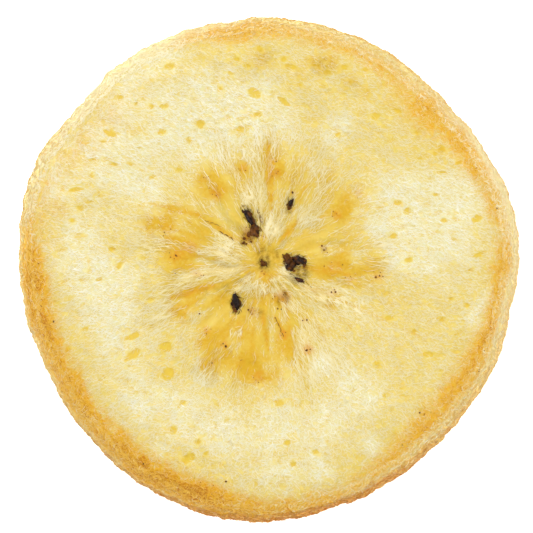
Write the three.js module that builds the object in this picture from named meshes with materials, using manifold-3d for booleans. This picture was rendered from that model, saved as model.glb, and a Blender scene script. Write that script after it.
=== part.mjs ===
// A freeze-dried banana slice, lying on its lower cut face.
// One solid: a short, bulging disc with a soft raised rim, a dished upper cut face, a sunken core with
// radial ridges and a knobbly crown, open pores in both cut faces and tiny seeds grown into the core.
// The lower cut face is flat, apart from its own shallow core, and the slice rests on it.
// Millimetres and degrees. +Z is up, the origin is the middle of the footprint on the surface it lies on.
// Bearings are counted from +X towards +Y, seen from above.
import * as THREE from "three";
import { mergeVertices } from "three/addons/utils/BufferGeometryUtils.js";
import Module from "manifold-3d";

// Driving dimensions.
const SLICE_DIAMETER = 32;
const SLICE_THICKNESS = 6.5;

// The rim: how far the wall bulges past the cut faces, and the soft shoulders above and below it.
const WALL_BULGE = 0.7;
const SHOULDER_WIDTH = 2.4;
const SHOULDER_DROP = 0.95;
const HEEL_WIDTH = 2.0;
const HEEL_RISE = 0.8;
const WALL_RIPPLE = 0.05;
const RIM_WAVE = 0.16;

// The upper cut face sinks inside the rim, and sinks again at the core.
const DISH_DEPTH = 0.7;
const DISH_RUN = 4.5;
const CORE_CENTRE = new THREE.Vector2(-0.2, 0.25);
const CORE_RADIUS = 6.4;
const CORE_DEPTH = 0.4;
const CORE_RIDGE_HEIGHT = 0.2;
const CROWN_RADIUS = 1.5;
const CROWN_HEIGHT = 0.3;
const LOWER_CORE_DEPTH = 0.28;
const FACE_UNDULATION = 0.12;

// Where the outline swells or flattens: bearing, swell in millimetres, spread in degrees.
const OUTLINE_SWELLS = [
  { bearing: 8, swell: 0.2, spread: 14 },
  { bearing: 45, swell: -0.38, spread: 18 },
  { bearing: 92, swell: 0.12, spread: 12 },
  { bearing: 122, swell: 0.24, spread: 14 },
  { bearing: 159, swell: 0.42, spread: 13 },
  { bearing: 208, swell: -0.34, spread: 20 },
  { bearing: 259, swell: 0.33, spread: 18 },
  { bearing: 315, swell: -0.32, spread: 26 },
  { bearing: 350, swell: -0.18, spread: 8 },
];

// Soft hollows and rises of the upper face: place, reach and height.
const FACE_SWELLS = [
  { x: 1.6, y: 12.4, reach: 2.4, height: -0.3 },
  { x: 6.5, y: 10.6, reach: 2.6, height: -0.22 },
  { x: -3.4, y: 9.4, reach: 3.2, height: 0.16 },
  { x: -9.4, y: -3.0, reach: 3.0, height: 0.14 },
  { x: 8.4, y: 1.4, reach: 3.4, height: 0.15 },
  { x: 2.2, y: -9.2, reach: 3.6, height: 0.14 },
];

// The larger open pores of the upper face: place, length, width, and the bearing that the length follows.
const UPPER_PORES = [
  { x: -0.8, y: 11.1, length: 0.85, width: 0.5, bearing: 150 },
  { x: -0.5, y: 9.8, length: 0.42, width: 0.38, bearing: 90 },
  { x: -1.9, y: 13.3, length: 0.5, width: 0.3, bearing: 170 },
  { x: 3.9, y: 12.5, length: 0.6, width: 0.26, bearing: 160 },
  { x: 7.0, y: 9.7, length: 0.45, width: 0.42, bearing: 100 },
  { x: 11.1, y: 7.5, length: 0.5, width: 0.42, bearing: 130 },
  { x: -10.0, y: 8.6, length: 0.85, width: 0.45, bearing: 160 },
  { x: -12.1, y: 5.0, length: 0.7, width: 0.32, bearing: 170 },
  { x: -8.5, y: -4.4, length: 0.75, width: 0.45, bearing: 15 },
  { x: -8.6, y: -5.6, length: 0.95, width: 0.55, bearing: 30 },
  { x: -6.5, y: -5.1, length: 0.62, width: 0.6, bearing: 0 },
  { x: -6.4, y: -6.8, length: 0.72, width: 0.62, bearing: 60 },
  { x: -5.1, y: -12.2, length: 0.75, width: 0.55, bearing: 30 },
  { x: 10.3, y: -5.6, length: 0.82, width: 0.34, bearing: 2 },
  { x: 11.2, y: -3.3, length: 0.55, width: 0.34, bearing: 5 },
  { x: 8.9, y: 3.6, length: 0.45, width: 0.4, bearing: 0 },
  { x: 13.4, y: 3.0, length: 0.55, width: 0.36, bearing: 20 },
];

// Pores of the lower face follow a sunflower spiral from the middle outwards.
const LOWER_PORE_COUNT = 14;
const LOWER_PORE_SPREAD = 11.5;
const LOWER_PORE_WIDTH = 0.55;
const GOLDEN_ANGLE = 137.5;

// Seeds in the core: place, length, width, and the bearing that the seed points along.
const SEEDS = [
  { x: -1.3, y: 3.55, length: 1.15, width: 0.45, bearing: 124 },
  { x: -0.86, y: 2.4, length: 0.62, width: 0.55, bearing: 130 },
  { x: 1.42, y: 4.15, length: 0.7, width: 0.36, bearing: 80 },
  { x: 2.0, y: 0.42, length: 1.1, width: 0.52, bearing: 167 },
  { x: 1.38, y: 0.06, length: 0.65, width: 0.55, bearing: 150 },
  { x: 2.0, y: -0.75, length: 0.85, width: 0.3, bearing: 152 },
  { x: -2.02, y: -2.1, length: 0.9, width: 0.46, bearing: 92 },
];
const SEED_STANDS_PROUD = 0.1;

// How finely the disc and its small features are faceted.
const BEARING_STEPS = 96;
const FACE_RINGS = 21;
const LOWER_RINGS = 13;
const WALL_ROWS = 9;
const PORE_DEPTH_SHARE = 0.45;
const SMALL_SPHERE = { around: 10, down: 6 };

const degrees = (radians) => (radians * 180) / Math.PI;
const radians = (angle) => (angle * Math.PI) / 180;

// 1 at nought, falling to nothing a few widths away.
const bell = (distance, width) => Math.exp(-((distance / width) ** 2));

// The smaller turn between two bearings.
function turnBetween(one, other) {
  const turn = (((one - other) % 360) + 540) % 360;
  return Math.abs(turn - 180);
}

// The widest reach of the wall at a bearing: a circle with flats, swells and a fine ripple.
function wallRadius(bearing) {
  const swell = OUTLINE_SWELLS.reduce(
    (sum, s) => sum + s.swell * bell(turnBetween(bearing, s.bearing), s.spread),
    0,
  );
  const t = radians(bearing);
  const ripple = Math.sin(17 * t + 1.1) + Math.sin(29 * t + 4.2) + 0.7 * Math.sin(43 * t);
  return SLICE_DIAMETER / 2 - WALL_RIPPLE + swell + (WALL_RIPPLE * ripple) / 2.7;
}

// The rim's shoulder is broadest at the lower left and narrowest at the right.
function shoulderWidth(bearing) {
  return SHOULDER_WIDTH * (1 + 0.22 * Math.cos(radians(bearing - 235)));
}

// The rim isn't cut quite level: it rises and falls round the slice.
function rimLift(bearing) {
  const t = radians(bearing);
  return RIM_WAVE * (Math.sin(t + 0.9) + 0.6 * Math.sin(3 * t + 2.2) + 0.3 * Math.sin(7 * t)) - RIM_WAVE;
}

// Radial ridges that fan out from the middle of the core, from -1 to 1.
function coreFan(reach, t) {
  const share =
    THREE.MathUtils.smoothstep(reach, 0.9, 2.2) *
    (1 - THREE.MathUtils.smoothstep(reach, 4.6, CORE_RADIUS + 1));
  const bent = t + 0.1 * Math.sin(1.2 * reach + 3 * t);
  const ridges = Math.sin(7 * bent + 0.6) + 0.8 * Math.sin(12 * bent + 2.4) + 0.7 * Math.sin(19 * bent);
  return (share * ridges) / 2.5;
}

// The upper core sinks, and carries its ridges and a knobbly crown.
function upperCore(x, y) {
  const reach = Math.hypot(x - CORE_CENTRE.x, y - CORE_CENTRE.y);
  const t = Math.atan2(y - CORE_CENTRE.y, x - CORE_CENTRE.x);
  const sunk = -CORE_DEPTH * (1 - THREE.MathUtils.smoothstep(reach, 1.8, CORE_RADIUS));
  const knobs = 0.75 + 0.25 * Math.sin(7 * t + 1.2);
  return (
    sunk +
    CORE_RIDGE_HEIGHT * coreFan(reach, t) +
    CROWN_HEIGHT * knobs * bell(reach - CROWN_RADIUS, 0.6)
  );
}

// The lower core is a shallow recess, so that the slice still rests flat around it.
function lowerCore(x, y) {
  const reach = Math.hypot(x - CORE_CENTRE.x, y - CORE_CENTRE.y);
  const t = Math.atan2(y - CORE_CENTRE.y, x - CORE_CENTRE.x);
  const recess = 1 - THREE.MathUtils.smoothstep(reach, 2.5, CORE_RADIUS);
  return LOWER_CORE_DEPTH * recess * (1 - 0.4 * coreFan(reach, t));
}

// Slow unevenness of the dried face.
function undulation(x, y) {
  const waves =
    Math.sin(0.9 * x + 0.5 * y + 1.6 * Math.sin(0.45 * y + 1)) +
    Math.sin(1.3 * y - 0.6 * x + 1.4 * Math.sin(0.5 * x + 2)) +
    0.6 * Math.sin(2.2 * x + 1.7 * y + 2 * Math.sin(0.9 * x - 0.7 * y));
  const swell = FACE_SWELLS.reduce(
    (sum, s) => sum + s.height * bell(Math.hypot(x - s.x, y - s.y), s.reach),
    0,
  );
  return (FACE_UNDULATION * waves) / 2.6 + swell;
}

// Height of the upper cut face at a place.
function upperHeight(x, y) {
  const bearing = degrees(Math.atan2(y, x));
  const inward = wallRadius(bearing) - WALL_BULGE - Math.hypot(x, y);
  const shoulder = shoulderWidth(bearing);
  const falling = Math.max(0, 1 - inward / shoulder);
  const dished = THREE.MathUtils.smoothstep(inward - shoulder, 0, DISH_RUN);
  const calm = THREE.MathUtils.smoothstep(inward, 0, shoulder);
  return (
    SLICE_THICKNESS +
    rimLift(bearing) * (1 - dished) -
    SHOULDER_DROP * falling ** 2 -
    DISH_DEPTH * dished +
    calm * undulation(x, y) +
    upperCore(x, y)
  );
}

// Height of the lower cut face: flat, with a rounded heel and its own shallow core.
function lowerHeight(x, y) {
  const bearing = degrees(Math.atan2(y, x));
  const inward = wallRadius(bearing) - WALL_BULGE - Math.hypot(x, y);
  return HEEL_RISE * Math.max(0, 1 - inward / HEEL_WIDTH) ** 2 + lowerCore(x, y);
}

// A pillbox of radius 1 and height 1, turned from a profile that starts and ends on the axis.
function pillbox() {
  const outwards = (count, power) => (_, i) => (i / count) ** power;
  const upper = Array.from({ length: FACE_RINGS + 1 }, outwards(FACE_RINGS, 0.85));
  const lower = Array.from({ length: LOWER_RINGS + 1 }, outwards(LOWER_RINGS, 0.75));
  const profile = [
    ...lower.map((r) => new THREE.Vector2(r, 0)),
    ...Array.from({ length: WALL_ROWS - 1 }, (_, i) => new THREE.Vector2(1, (i + 1) / WALL_ROWS)),
    ...upper.reverse().map((r) => new THREE.Vector2(r, 1)),
  ];
  const turned = new THREE.LatheGeometry(profile, BEARING_STEPS).rotateX(Math.PI / 2);
  turned.deleteAttribute("normal");
  turned.deleteAttribute("uv");
  return mergeVertices(turned);
}

// Moves a point of the pillbox to its place on the slice.
function shapePoint(point) {
  const bearing = degrees(Math.atan2(point.y, point.x));
  const direction = new THREE.Vector2(Math.cos(radians(bearing)), Math.sin(radians(bearing)));
  const edge = wallRadius(bearing) - WALL_BULGE;
  const share = Math.min(1, Math.hypot(point.x, point.y));
  const place = direction.clone().multiplyScalar(share * edge);
  const top = upperHeight(place.x, place.y);
  const bottom = lowerHeight(place.x, place.y);
  if (share > 0.999) {
    const bulge = WALL_BULGE * (1 - (2 * point.z - 1) ** 2);
    place.add(direction.multiplyScalar(bulge));
  }
  point.set(place.x, place.y, bottom + (top - bottom) * point.z);
}

function shapedDisc() {
  const disc = pillbox();
  const positions = disc.getAttribute("position");
  const point = new THREE.Vector3();
  for (let i = 0; i < positions.count; i++) {
    shapePoint(point.fromBufferAttribute(positions, i));
    positions.setXYZ(i, point.x, point.y, point.z);
  }
  return disc;
}

// A small ellipsoid lying along a bearing, for pores and seeds.
function pip({ x, y, length, width, bearing }, z, depth) {
  const ball = new THREE.SphereGeometry(0.5, SMALL_SPHERE.around, SMALL_SPHERE.down);
  ball.deleteAttribute("normal");
  ball.deleteAttribute("uv");
  ball.scale(length, width, depth);
  ball.rotateZ(radians(bearing));
  ball.translate(x, y, z);
  return mergeVertices(ball);
}

const wasm = await Module();
wasm.setup();

function toSolid(geometry) {
  return new wasm.Manifold(
    new wasm.Mesh({
      numProp: 3,
      vertProperties: new Float32Array(geometry.getAttribute("position").array),
      triVerts: new Uint32Array(geometry.index.array),
    }),
  );
}

function toGeometry(solid) {
  const mesh = solid.getMesh();
  return new THREE.BufferGeometry()
    .setAttribute("position", new THREE.BufferAttribute(mesh.vertProperties, 3))
    .setIndex(new THREE.BufferAttribute(mesh.triVerts, 1));
}

// Pores are scooped out of both faces, and seeds stand a little proud of the upper one.
function upperPores() {
  return UPPER_PORES.map((pore) =>
    pip(pore, upperHeight(pore.x, pore.y), 2 * PORE_DEPTH_SHARE * pore.width),
  );
}

function lowerPores() {
  return Array.from({ length: LOWER_PORE_COUNT }, (_, i) => {
    const reach = LOWER_PORE_SPREAD * Math.sqrt((i + 0.5) / LOWER_PORE_COUNT);
    const bearing = i * GOLDEN_ANGLE;
    const width = LOWER_PORE_WIDTH * (1 + 0.4 * Math.sin(2.3 * i));
    const place = {
      x: reach * Math.cos(radians(bearing)),
      y: reach * Math.sin(radians(bearing)),
      length: 1.3 * width,
      width,
      bearing,
    };
    return pip(place, lowerHeight(place.x, place.y), 2 * PORE_DEPTH_SHARE * width);
  });
}

function seeds() {
  return SEEDS.map((seed) => {
    const centre = upperHeight(seed.x, seed.y) + SEED_STANDS_PROUD - seed.width / 2;
    return pip(seed, centre, seed.width);
  });
}

function bananaSlice() {
  let solid = toSolid(shapedDisc());
  for (const pore of [...upperPores(), ...lowerPores()]) solid = solid.subtract(toSolid(pore));
  for (const seed of seeds()) solid = solid.add(toSolid(seed));
  const geometry = toGeometry(solid);
  geometry.computeBoundingBox();
  const middle = geometry.boundingBox.getCenter(new THREE.Vector3());
  geometry.translate(-middle.x, -middle.y, -geometry.boundingBox.min.z);
  geometry.computeVertexNormals();
  const flesh = new THREE.MeshStandardMaterial({ color: 0xf3dd97, roughness: 0.85, metalness: 0 });
  const mesh = new THREE.Mesh(geometry, flesh);
  mesh.name = "banana_slice";
  return mesh;
}

const part = new THREE.Group();
part.add(bananaSlice());

export default part;
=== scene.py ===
"""A freeze-dried banana slice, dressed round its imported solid.

The slice is one closed body with a felt of dried fibres on it, and tiny seeds grown into its core.
Shapes are worked out in millimetres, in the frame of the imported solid, and turned to metres at the end.
"""

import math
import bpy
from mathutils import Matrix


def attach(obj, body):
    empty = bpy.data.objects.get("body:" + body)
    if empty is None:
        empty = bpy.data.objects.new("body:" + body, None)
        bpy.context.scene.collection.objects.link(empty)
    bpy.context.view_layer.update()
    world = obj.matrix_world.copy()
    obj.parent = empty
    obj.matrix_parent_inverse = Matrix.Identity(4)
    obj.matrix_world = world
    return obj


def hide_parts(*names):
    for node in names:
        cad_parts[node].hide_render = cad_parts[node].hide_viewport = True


bl_info = {
    "name": "Freeze-dried Banana Slice",
    "version": (1, 0, 0),
    "blender": (4, 5, 0),
    "location": "View3D > Sidebar > Slice",
    "description": "Builds a freeze-dried banana slice from a body, its fibres and its seeds",
    "category": "Add Mesh",
}

from collections import namedtuple
from functools import lru_cache

import bmesh
import bpy
import numpy as np
from mathutils import Matrix, Vector

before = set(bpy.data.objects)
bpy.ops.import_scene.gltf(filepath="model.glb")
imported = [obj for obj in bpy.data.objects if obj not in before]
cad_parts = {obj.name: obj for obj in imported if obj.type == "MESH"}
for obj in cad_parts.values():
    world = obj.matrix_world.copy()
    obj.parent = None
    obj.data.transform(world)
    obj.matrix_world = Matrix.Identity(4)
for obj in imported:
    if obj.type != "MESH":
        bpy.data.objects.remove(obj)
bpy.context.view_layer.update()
NODE = "banana_slice"

MM = 0.001
DIAMETER = 32.0
THICKNESS = 6.5

# The photograph, in pixels: its side, the middles of the slice and of the core, and the slice's width.
PHOTO_SIDE = 533
PHOTO_MIDDLE = (267.5, 268.5)
PHOTO_CORE = (264, 264)
PHOTO_WIDTH = 501
PIXEL = DIAMETER / PHOTO_WIDTH

# The same shape that the solid is turned from, in millimetres and degrees.
WALL_BULGE = 0.7
WALL_ROUNDNESS = 2.4
WALL_HEIGHT = 5.2
SHOULDER_WIDTH = 2.4
SHOULDER_DROP = 0.95
HEEL_WIDTH = 2.0
HEEL_RISE = 0.8
WALL_RIPPLE = 0.05
RIM_WAVE = 0.16
DISH_DEPTH = 0.7
DISH_RUN = 4.5
CORE_X = -0.2
CORE_Y = 0.25
CORE_RADIUS = 6.4
CORE_DEPTH = 0.4
CORE_RIDGE_HEIGHT = 0.2
CROWN_RADIUS = 1.5
CROWN_HEIGHT = 0.3
LOWER_CORE_DEPTH = 0.28
FACE_UNDULATION = 0.12

# The bearings where the shoulder is widest and where the wall is tannest: the skin's own tan, made to reach higher
# there and less high on the side towards the window lamp, as painted shade and painted highlight.
WIDE_SHOULDER_BEARING = 235
TAN_BEARING = 305

# The seam of the wall under the shoulder: where it is deepest, its share of the height, and its width in that share.
SEAM_BEARING = 310
SEAM_LEVEL = 0.89
SEAM_WIDTH = 0.02

# How far out small things lie, in millimetres: over the face, and round the rim and the wall.
FELT_REACH = 15.2
LINT_REACH = 15.3
STREWN_REACH = 15.0
RIM_RADIUS = 15.3
WALL_RADIUS = DIAMETER / 2

# Stretches of the rim and the wall with a look of their own: bearing and spread. The two at the top left paint the
# wall paler where the light falls: painted highlight.
FUZZY_EDGE = (322, 36)
PALE_EDGE = (100, 75)
# Painted highlight at the top left: less skin and straw.
PAINTED_HIGHLIGHT_TOP = (130, 40)
UNBAKED_RIGHT = (28, 24)
DEEP_TOAST = (265, 18)
# Painted highlight at the top left: the white of the down.
PAINTED_GLARE_TOP = (124, 24)
DOWNY_RIGHT = (8, 38)
DOWNY_LEFT = (195, 20)
BROWN_WALL = (275, 38)

# How the felt slants and strays from its slant away from the core, in degrees, and where it rises or lies looser.
FELT_SLANT = -17
FELT_STRAY = 21
RISING_FELT = (213, 34)
LOOSE_FELT = (275, 45)

# Of the places that are tried for a strand, this share keeps one however strong the tints are.
LEAST_KEPT = 0.02

# Each kind of strand: lengths, widths as shares of the fibre width, lifts off the surface, and how much it bends.
Strands = namedtuple("Strands", "lengths widths lifts bend")
FELT = Strands((0.25, 0.7), (0.45, 1.0), (0.01, 0.05), 0.7)
LINT = Strands((0.2, 0.5), (0.6, 1.1), (0.01, 0.06), 1.0)
CORE = Strands((0.4, 1.6), (0.6, 1.1), (0.01, 0.05), 0.3)
RIM = Strands((0.2, 0.6), (0.6, 1.2), (0.01, 0.05), 1.0)
CRUST = Strands((0.2, 0.55), (0.7, 1.5), (0.01, 0.06), 1.2)

# Noises, each a sum of layers: share, size in millimetres and seed.
EDGE_CRUMBS = ((0.06, 0.9, 47), (0.05, 0.35, 48))
CORE_STREAKS = ((0.5, 0.5, 5), (0.35, 0.24, 6), (0.25, 0.12, 7))
CORE_SILK = ((0.5, 0.24, 6), (0.6, 0.12, 7))
FACE_LUMPS = ((0.045, 1.1, 21), (0.035, 0.55, 22), (0.03, 0.28, 23))
TUFT_FLUFF = ((0.6, 0.25, 25), (0.4, 0.6, 26))
PORE_EDGES = ((0.5, 0.35, 3), (0.4, 0.8, 4))
SUGAR_CLUMPS = ((0.4, 1.3, 36), (0.4, 0.6, 37))
TOAST_GRAIN = ((0.35, 0.25, 34), (0.3, 0.9, 35), (0.25, 2.5, 40))
TOAST_WANDER = ((0.2, 1.8, 71), (0.1, 0.7, 72))
WALL_CRAGS = ((0.07, 1.4, 41), (0.05, 0.6, 42), (0.045, 0.3, 43))
WALL_PATCHES = ((0.3, 1.8, 44), (0.3, 0.7, 45), (0.3, 0.3, 46))
SEED_DENTS = ((1.0, 0.4, 61), (0.7, 0.2, 62))

# Noise has this many values each way, and the line of the edge this many for each degree.
LATTICE = 64
EDGE_STEPS = 10

# What each random draw starts from.
RANDOM_SEEDS = {
    "pores": 11, "felt": 101, "core": 102, "crust": 103, "seeds": 104, "threads": 105, "lint": 106, "rim": 107
}

# Where the outline swells or flattens: bearing, swell, spread.
OUTLINE_SWELLS = (
    (8, 0.2, 14),
    (45, -0.38, 18),
    (92, 0.12, 12),
    (122, 0.24, 14),
    (159, 0.42, 13),
    (208, -0.34, 20),
    (259, 0.33, 18),
    (315, -0.32, 26),
    (350, -0.18, 8),
)

# Soft hollows and rises of the upper face: place, reach, height.
FACE_SWELLS = (
    (1.6, 12.4, 2.4, -0.3),
    (6.5, 10.6, 2.6, -0.22),
    (-3.4, 9.4, 3.2, 0.16),
    (-9.4, -3.0, 3.0, 0.14),
    (8.4, 1.4, 3.4, 0.15),
    (2.2, -9.2, 3.6, 0.14),
)

# Stretches of the shoulder that are toasted: bearing, how far in from the outline, width, strength.
TOAST_SPREAD = 9
TOASTED_STRETCHES = (
    (0, 0.88, 0.8, 0.52), (15, 0.8, 0.65, 0.28), (30, 1.0, 0.85, 0.48), (45, 1.25, 1.4, 0.42),
    (60, 0.95, 0.75, 0.3), (75, 0.9, 0.8, 0.3), (91, 0.75, 0.85, 0.52), (105, 0.6, 0.8, 0.38),
    (135, 1.8, 1.6, 0.14), (150, 1.8, 1.6, 0.16), (165, 1.5, 1.3, 0.2), (180, 0.8, 0.95, 0.9),
    (195, 0.85, 1.05, 0.84), (210, 0.85, 0.9, 0.82), (225, 0.85, 1.0, 0.72), (240, 0.9, 1.1, 1.04),
    (255, 0.75, 0.95, 1.08), (270, 0.45, 0.75, 0.84), (285, 0.4, 0.65, 0.5), (300, 0.95, 0.7, 0.44),
    (315, 1.35, 0.85, 0.54), (330, 1.2, 0.9, 0.68), (345, 0.88, 0.62, 0.48),
)

# How far the clear, yellow flesh of the core runs out, in millimetres: bearing, swell, spread.
CORE_REACH = 6.6
CORE_LOBES = (
    (0, 0.9, 16),
    (42, 0.7, 16),
    (88, 1.2, 22),
    (135, 0.6, 16),
    (180, 0.7, 15),
    (222, -0.7, 15),
    (265, 1.6, 20),
    (320, -1.3, 18),
)

# Fields of dry, white foam, in pixels: place and reach. The rest holds more sugar and is yellower.
WHITE_FIELDS = (
    (60, 178, 28), (92, 150, 30), (130, 135, 34), (172, 118, 34), (215, 112, 34), (255, 112, 28), (286, 122, 18),
    (78, 232, 26), (92, 268, 38), (104, 302, 32), (122, 338, 28), (140, 400, 28), (180, 424, 30), (226, 434, 30),
    (275, 432, 32), (325, 424, 30), (362, 404, 22), (398, 192, 28), (430, 210, 38), (440, 250, 32),
    (408, 238, 28), (462, 196, 22), (380, 228, 16), (346, 380, 18), (330, 140, 16), (150, 190, 20),
    (150, 122, 36), (200, 106, 34), (242, 112, 32), (112, 168, 32), (262, 98, 22), (440, 226, 28), (208, 140, 24),
    (150, 68, 16), (128, 82, 14), (172, 58, 12), (267, 476, 14), (292, 472, 14), (320, 468, 14), (370, 446, 12),
    (478, 320, 14), (486, 300, 10), (200, 262, 8), (195, 385, 12), (183, 404, 14), (426, 264, 16), (400, 262, 12),
    (345, 123, 12), (123, 183, 14), (322, 364, 12), (240, 110, 16), (322, 470, 14), (163, 450, 11), (373, 450, 9),
)

# Open pores that stand out, in pixels of the photograph and degrees: place, length, width, bearing.
OPEN_PORES = (
    (237, 60, 7, 4, 160), (248, 67, 8, 4, 0), (260, 50, 6, 5, 120), (284, 60, 5, 4, 0), (290, 67, 10, 4, 170),
    (314, 66, 6, 4, 0), (328, 73, 8, 3, 160), (255, 94, 13, 8, 145), (280, 99, 6, 3, 150), (259, 115, 6, 6, 0),
    (287, 104, 8, 4, 140), (274, 25, 6, 4, 0), (346, 68, 5, 4, 0), (231, 74, 6, 3, 160), (220, 90, 6, 4, 10),
    (337, 136, 8, 3, 35), (366, 71, 6, 4, 0), (376, 117, 7, 8, 90), (397, 111, 10, 4, 160), (417, 134, 5, 4, 0),
    (442, 150, 8, 6, 130), (435, 155, 5, 4, 0), (420, 160, 5, 2, 0), (442, 174, 11, 3, 2), (459, 164, 7, 4, 30),
    (170, 67, 9, 5, 0), (120, 98, 9, 5, 0), (164, 107, 9, 4, 0), (110, 134, 14, 7, 150), (162, 133, 6, 4, 0),
    (114, 165, 8, 4, 170), (91, 176, 6, 4, 80), (151, 107, 6, 5, 0), (103, 142, 9, 3, 170), (152, 177, 5, 4, 0),
    (179, 170, 6, 4, 0), (189, 141, 6, 5, 0), (136, 104, 6, 4, 0), (79, 208, 7, 3, 150), (92, 160, 6, 3, 0),
    (200, 124, 9, 9, 0), (130, 165, 6, 3, 160), (78, 190, 13, 4, 0), (90, 202, 8, 3, 0), (72, 221, 6, 4, 150),
    (119, 266, 9, 5, 60), (99, 280, 8, 4, 10), (134, 337, 14, 6, 18), (165, 348, 11, 9, 60), (133, 355, 17, 7, 35),
    (168, 375, 11, 10, 60), (103, 377, 6, 2, 150), (173, 432, 8, 7, 20), (188, 460, 13, 9, 20),
    (316, 453, 8, 5, 0), (293, 465, 6, 5, 0), (279, 404, 10, 9, 0), (307, 388, 8, 5, 30), (287, 444, 6, 5, 0),
    (428, 356, 13, 5, 0), (441, 372, 6, 3, 160), (401, 390, 4, 3, 0), (393, 411, 5, 3, 50), (385, 397, 5, 4, 0),
    (378, 366, 9, 7, 120),
    (407, 212, 6, 6, 0), (477, 221, 8, 6, 20), (480, 256, 11, 4, 28), (394, 237, 8, 5, 10), (409, 261, 7, 5, 0),
    (442, 321, 7, 5, 30), (467, 307, 6, 4, 0), (389, 319, 9, 4, 0), (451, 300, 5, 4, 0), (415, 332, 5, 4, 0),
    (456, 336, 5, 3, 0), (471, 272, 7, 5, 0), (198, 443, 7, 5, 20), (183, 403, 5, 5, 0), (205, 455, 7, 3, 30),
    (397, 204, 9, 5, 10), (444, 222, 6, 4, 0), (436, 196, 5, 3, 0), (152, 327, 6, 4, 0), (111, 250, 8, 5, 10),
    (85, 330, 6, 4, 20), (68, 350, 6, 4, 40), (150, 300, 8, 4, 10), (240, 130, 5, 4, 0), (300, 86, 5, 4, 0),
)

# Golden, dense patches where the flesh dried to a clear gel, and along the top rim painted shade in the hollow under
# it: place, reach and strength, in pixels.
GOLDEN_AND_SHADE_PATCHES = (
    (212, 188, 15, 0.75), (200, 178, 9, 0.5), (170, 236, 20, 1.0), (186, 245, 14, 0.75), (179, 262, 12, 0.75),
    (176, 214, 12, 0.6), (160, 222, 10, 0.5), (236, 176, 10, 0.4), (372, 268, 12, 0.4), (226, 330, 12, 0.5),
    (278, 172, 12, 0.95), (270, 150, 12, 0.6), (240, 166, 12, 0.6), (296, 178, 10, 0.5), (350, 208, 16, 0.8),
    (358, 192, 10, 0.85), (337, 216, 10, 0.6), (342, 258, 18, 0.7), (368, 277, 14, 0.8), (330, 272, 14, 0.6),
    (206, 340, 16, 0.75), (212, 366, 13, 0.75), (236, 362, 16, 0.8), (256, 374, 20, 0.85), (278, 372, 14, 0.9),
    (182, 312, 13, 0.85), (180, 215, 10, 0.6), (204, 364, 9, 0.4), (205, 230, 11, 0.5), (193, 223, 11, 0.5),
    (284, 301, 7, 0.8), (335, 305, 10, 0.35), (260, 316, 10, 0.6), (426, 412, 12, 0.35), (266, 252, 9, 0.8),
    (275, 257, 5, 0.6), (280, 301, 6, 0.8), (76, 157, 16, 0.16), (54, 211, 14, 0.16), (212, 477, 9, 0.3),
    (172, 240, 12, 0.5),
    (281, 340, 10, 0.9), (276, 312, 9, 0.5), (218, 292, 18, 0.75), (190, 300, 18, 0.7), (238, 336, 16, 0.7),
    (326, 328, 12, 0.35), (290, 352, 12, 0.6), (230, 190, 12, 0.45), (400, 352, 10, 0.3), (388, 300, 12, 0.3),
    (150, 224, 12, 0.5), (310, 250, 12, 0.4), (292, 232, 8, 0.3), (232, 218, 8, 0.35),
    (312, 190, 14, 0.35), (332, 172, 12, 0.3), (304, 150, 12, 0.3), (262, 290, 16, 0.6), (240, 262, 14, 0.4),
    (266, 256, 16, 0.8), (256, 276, 12, 0.7), (272, 276, 12, 0.7), (262, 304, 12, 0.5), (238, 320, 12, 0.5),
    # The patches near the top rim, at (300, 74), (368, 92), (396, 100), (262, 60), (332, 62), (350, 84), (316, 66)
    # and (216, 68), are painted shade in the hollow under the rim.
    (300, 74, 14, 0.25), (368, 92, 14, 0.4), (396, 100, 14, 0.45), (350, 484, 12, 0.2), (392, 452, 14, 0.2),
    (305, 496, 12, 0.3), (262, 60, 13, 0.5), (424, 124, 14, 0.5), (440, 156, 13, 0.45), (70, 165, 12, 0.35),
    (332, 62, 12, 0.6), (350, 84, 12, 0.45), (60, 210, 10, 0.35), (458, 184, 10, 0.3), (82, 140, 10, 0.3),
    (428, 398, 12, 0.3), (404, 300, 16, 0.2), (316, 66, 11, 0.7), (216, 68, 12, 0.35), (90, 260, 16, 0.25),
    (456, 382, 10, 0.3), (168, 448, 14, 0.25), (128, 418, 12, 0.2), (56, 240, 12, 0.25),
)

# Golden streaks of the core, in pixels: from, to, width and strength.
GOLDEN_STREAKS = (
    (170, 299, 216, 286, 3.5, 0.9), (150, 204, 200, 216, 3.5, 0.7), (200, 216, 236, 241, 2.5, 0.7),
    (299, 219, 279, 243, 2.5, 1.0), (268, 146, 271, 212, 4.0, 0.8), (275, 317, 286, 340, 2.5, 0.8),
    (263, 314, 268, 352, 3.0, 0.6), (300, 268, 348, 275, 3.5, 0.6), (296, 284, 332, 297, 2.5, 0.6),
    (332, 297, 420, 338, 2.5, 0.4), (236, 313, 221, 346, 2.5, 0.4), (286, 304, 291, 350, 2.5, 0.5),
    (200, 368, 217, 361, 2.0, 0.8), (306, 186, 292, 214, 2.5, 0.4), (330, 212, 300, 236, 2.5, 0.4),
    (240, 175, 250, 206, 2.5, 0.4), (205, 250, 240, 254, 2.5, 0.4), (310, 290, 352, 330, 2.5, 0.4),
    (190, 256, 232, 262, 2.0, 0.4), (254, 318, 250, 366, 2.5, 0.4), (306, 300, 326, 344, 2.0, 0.3),
)

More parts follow.
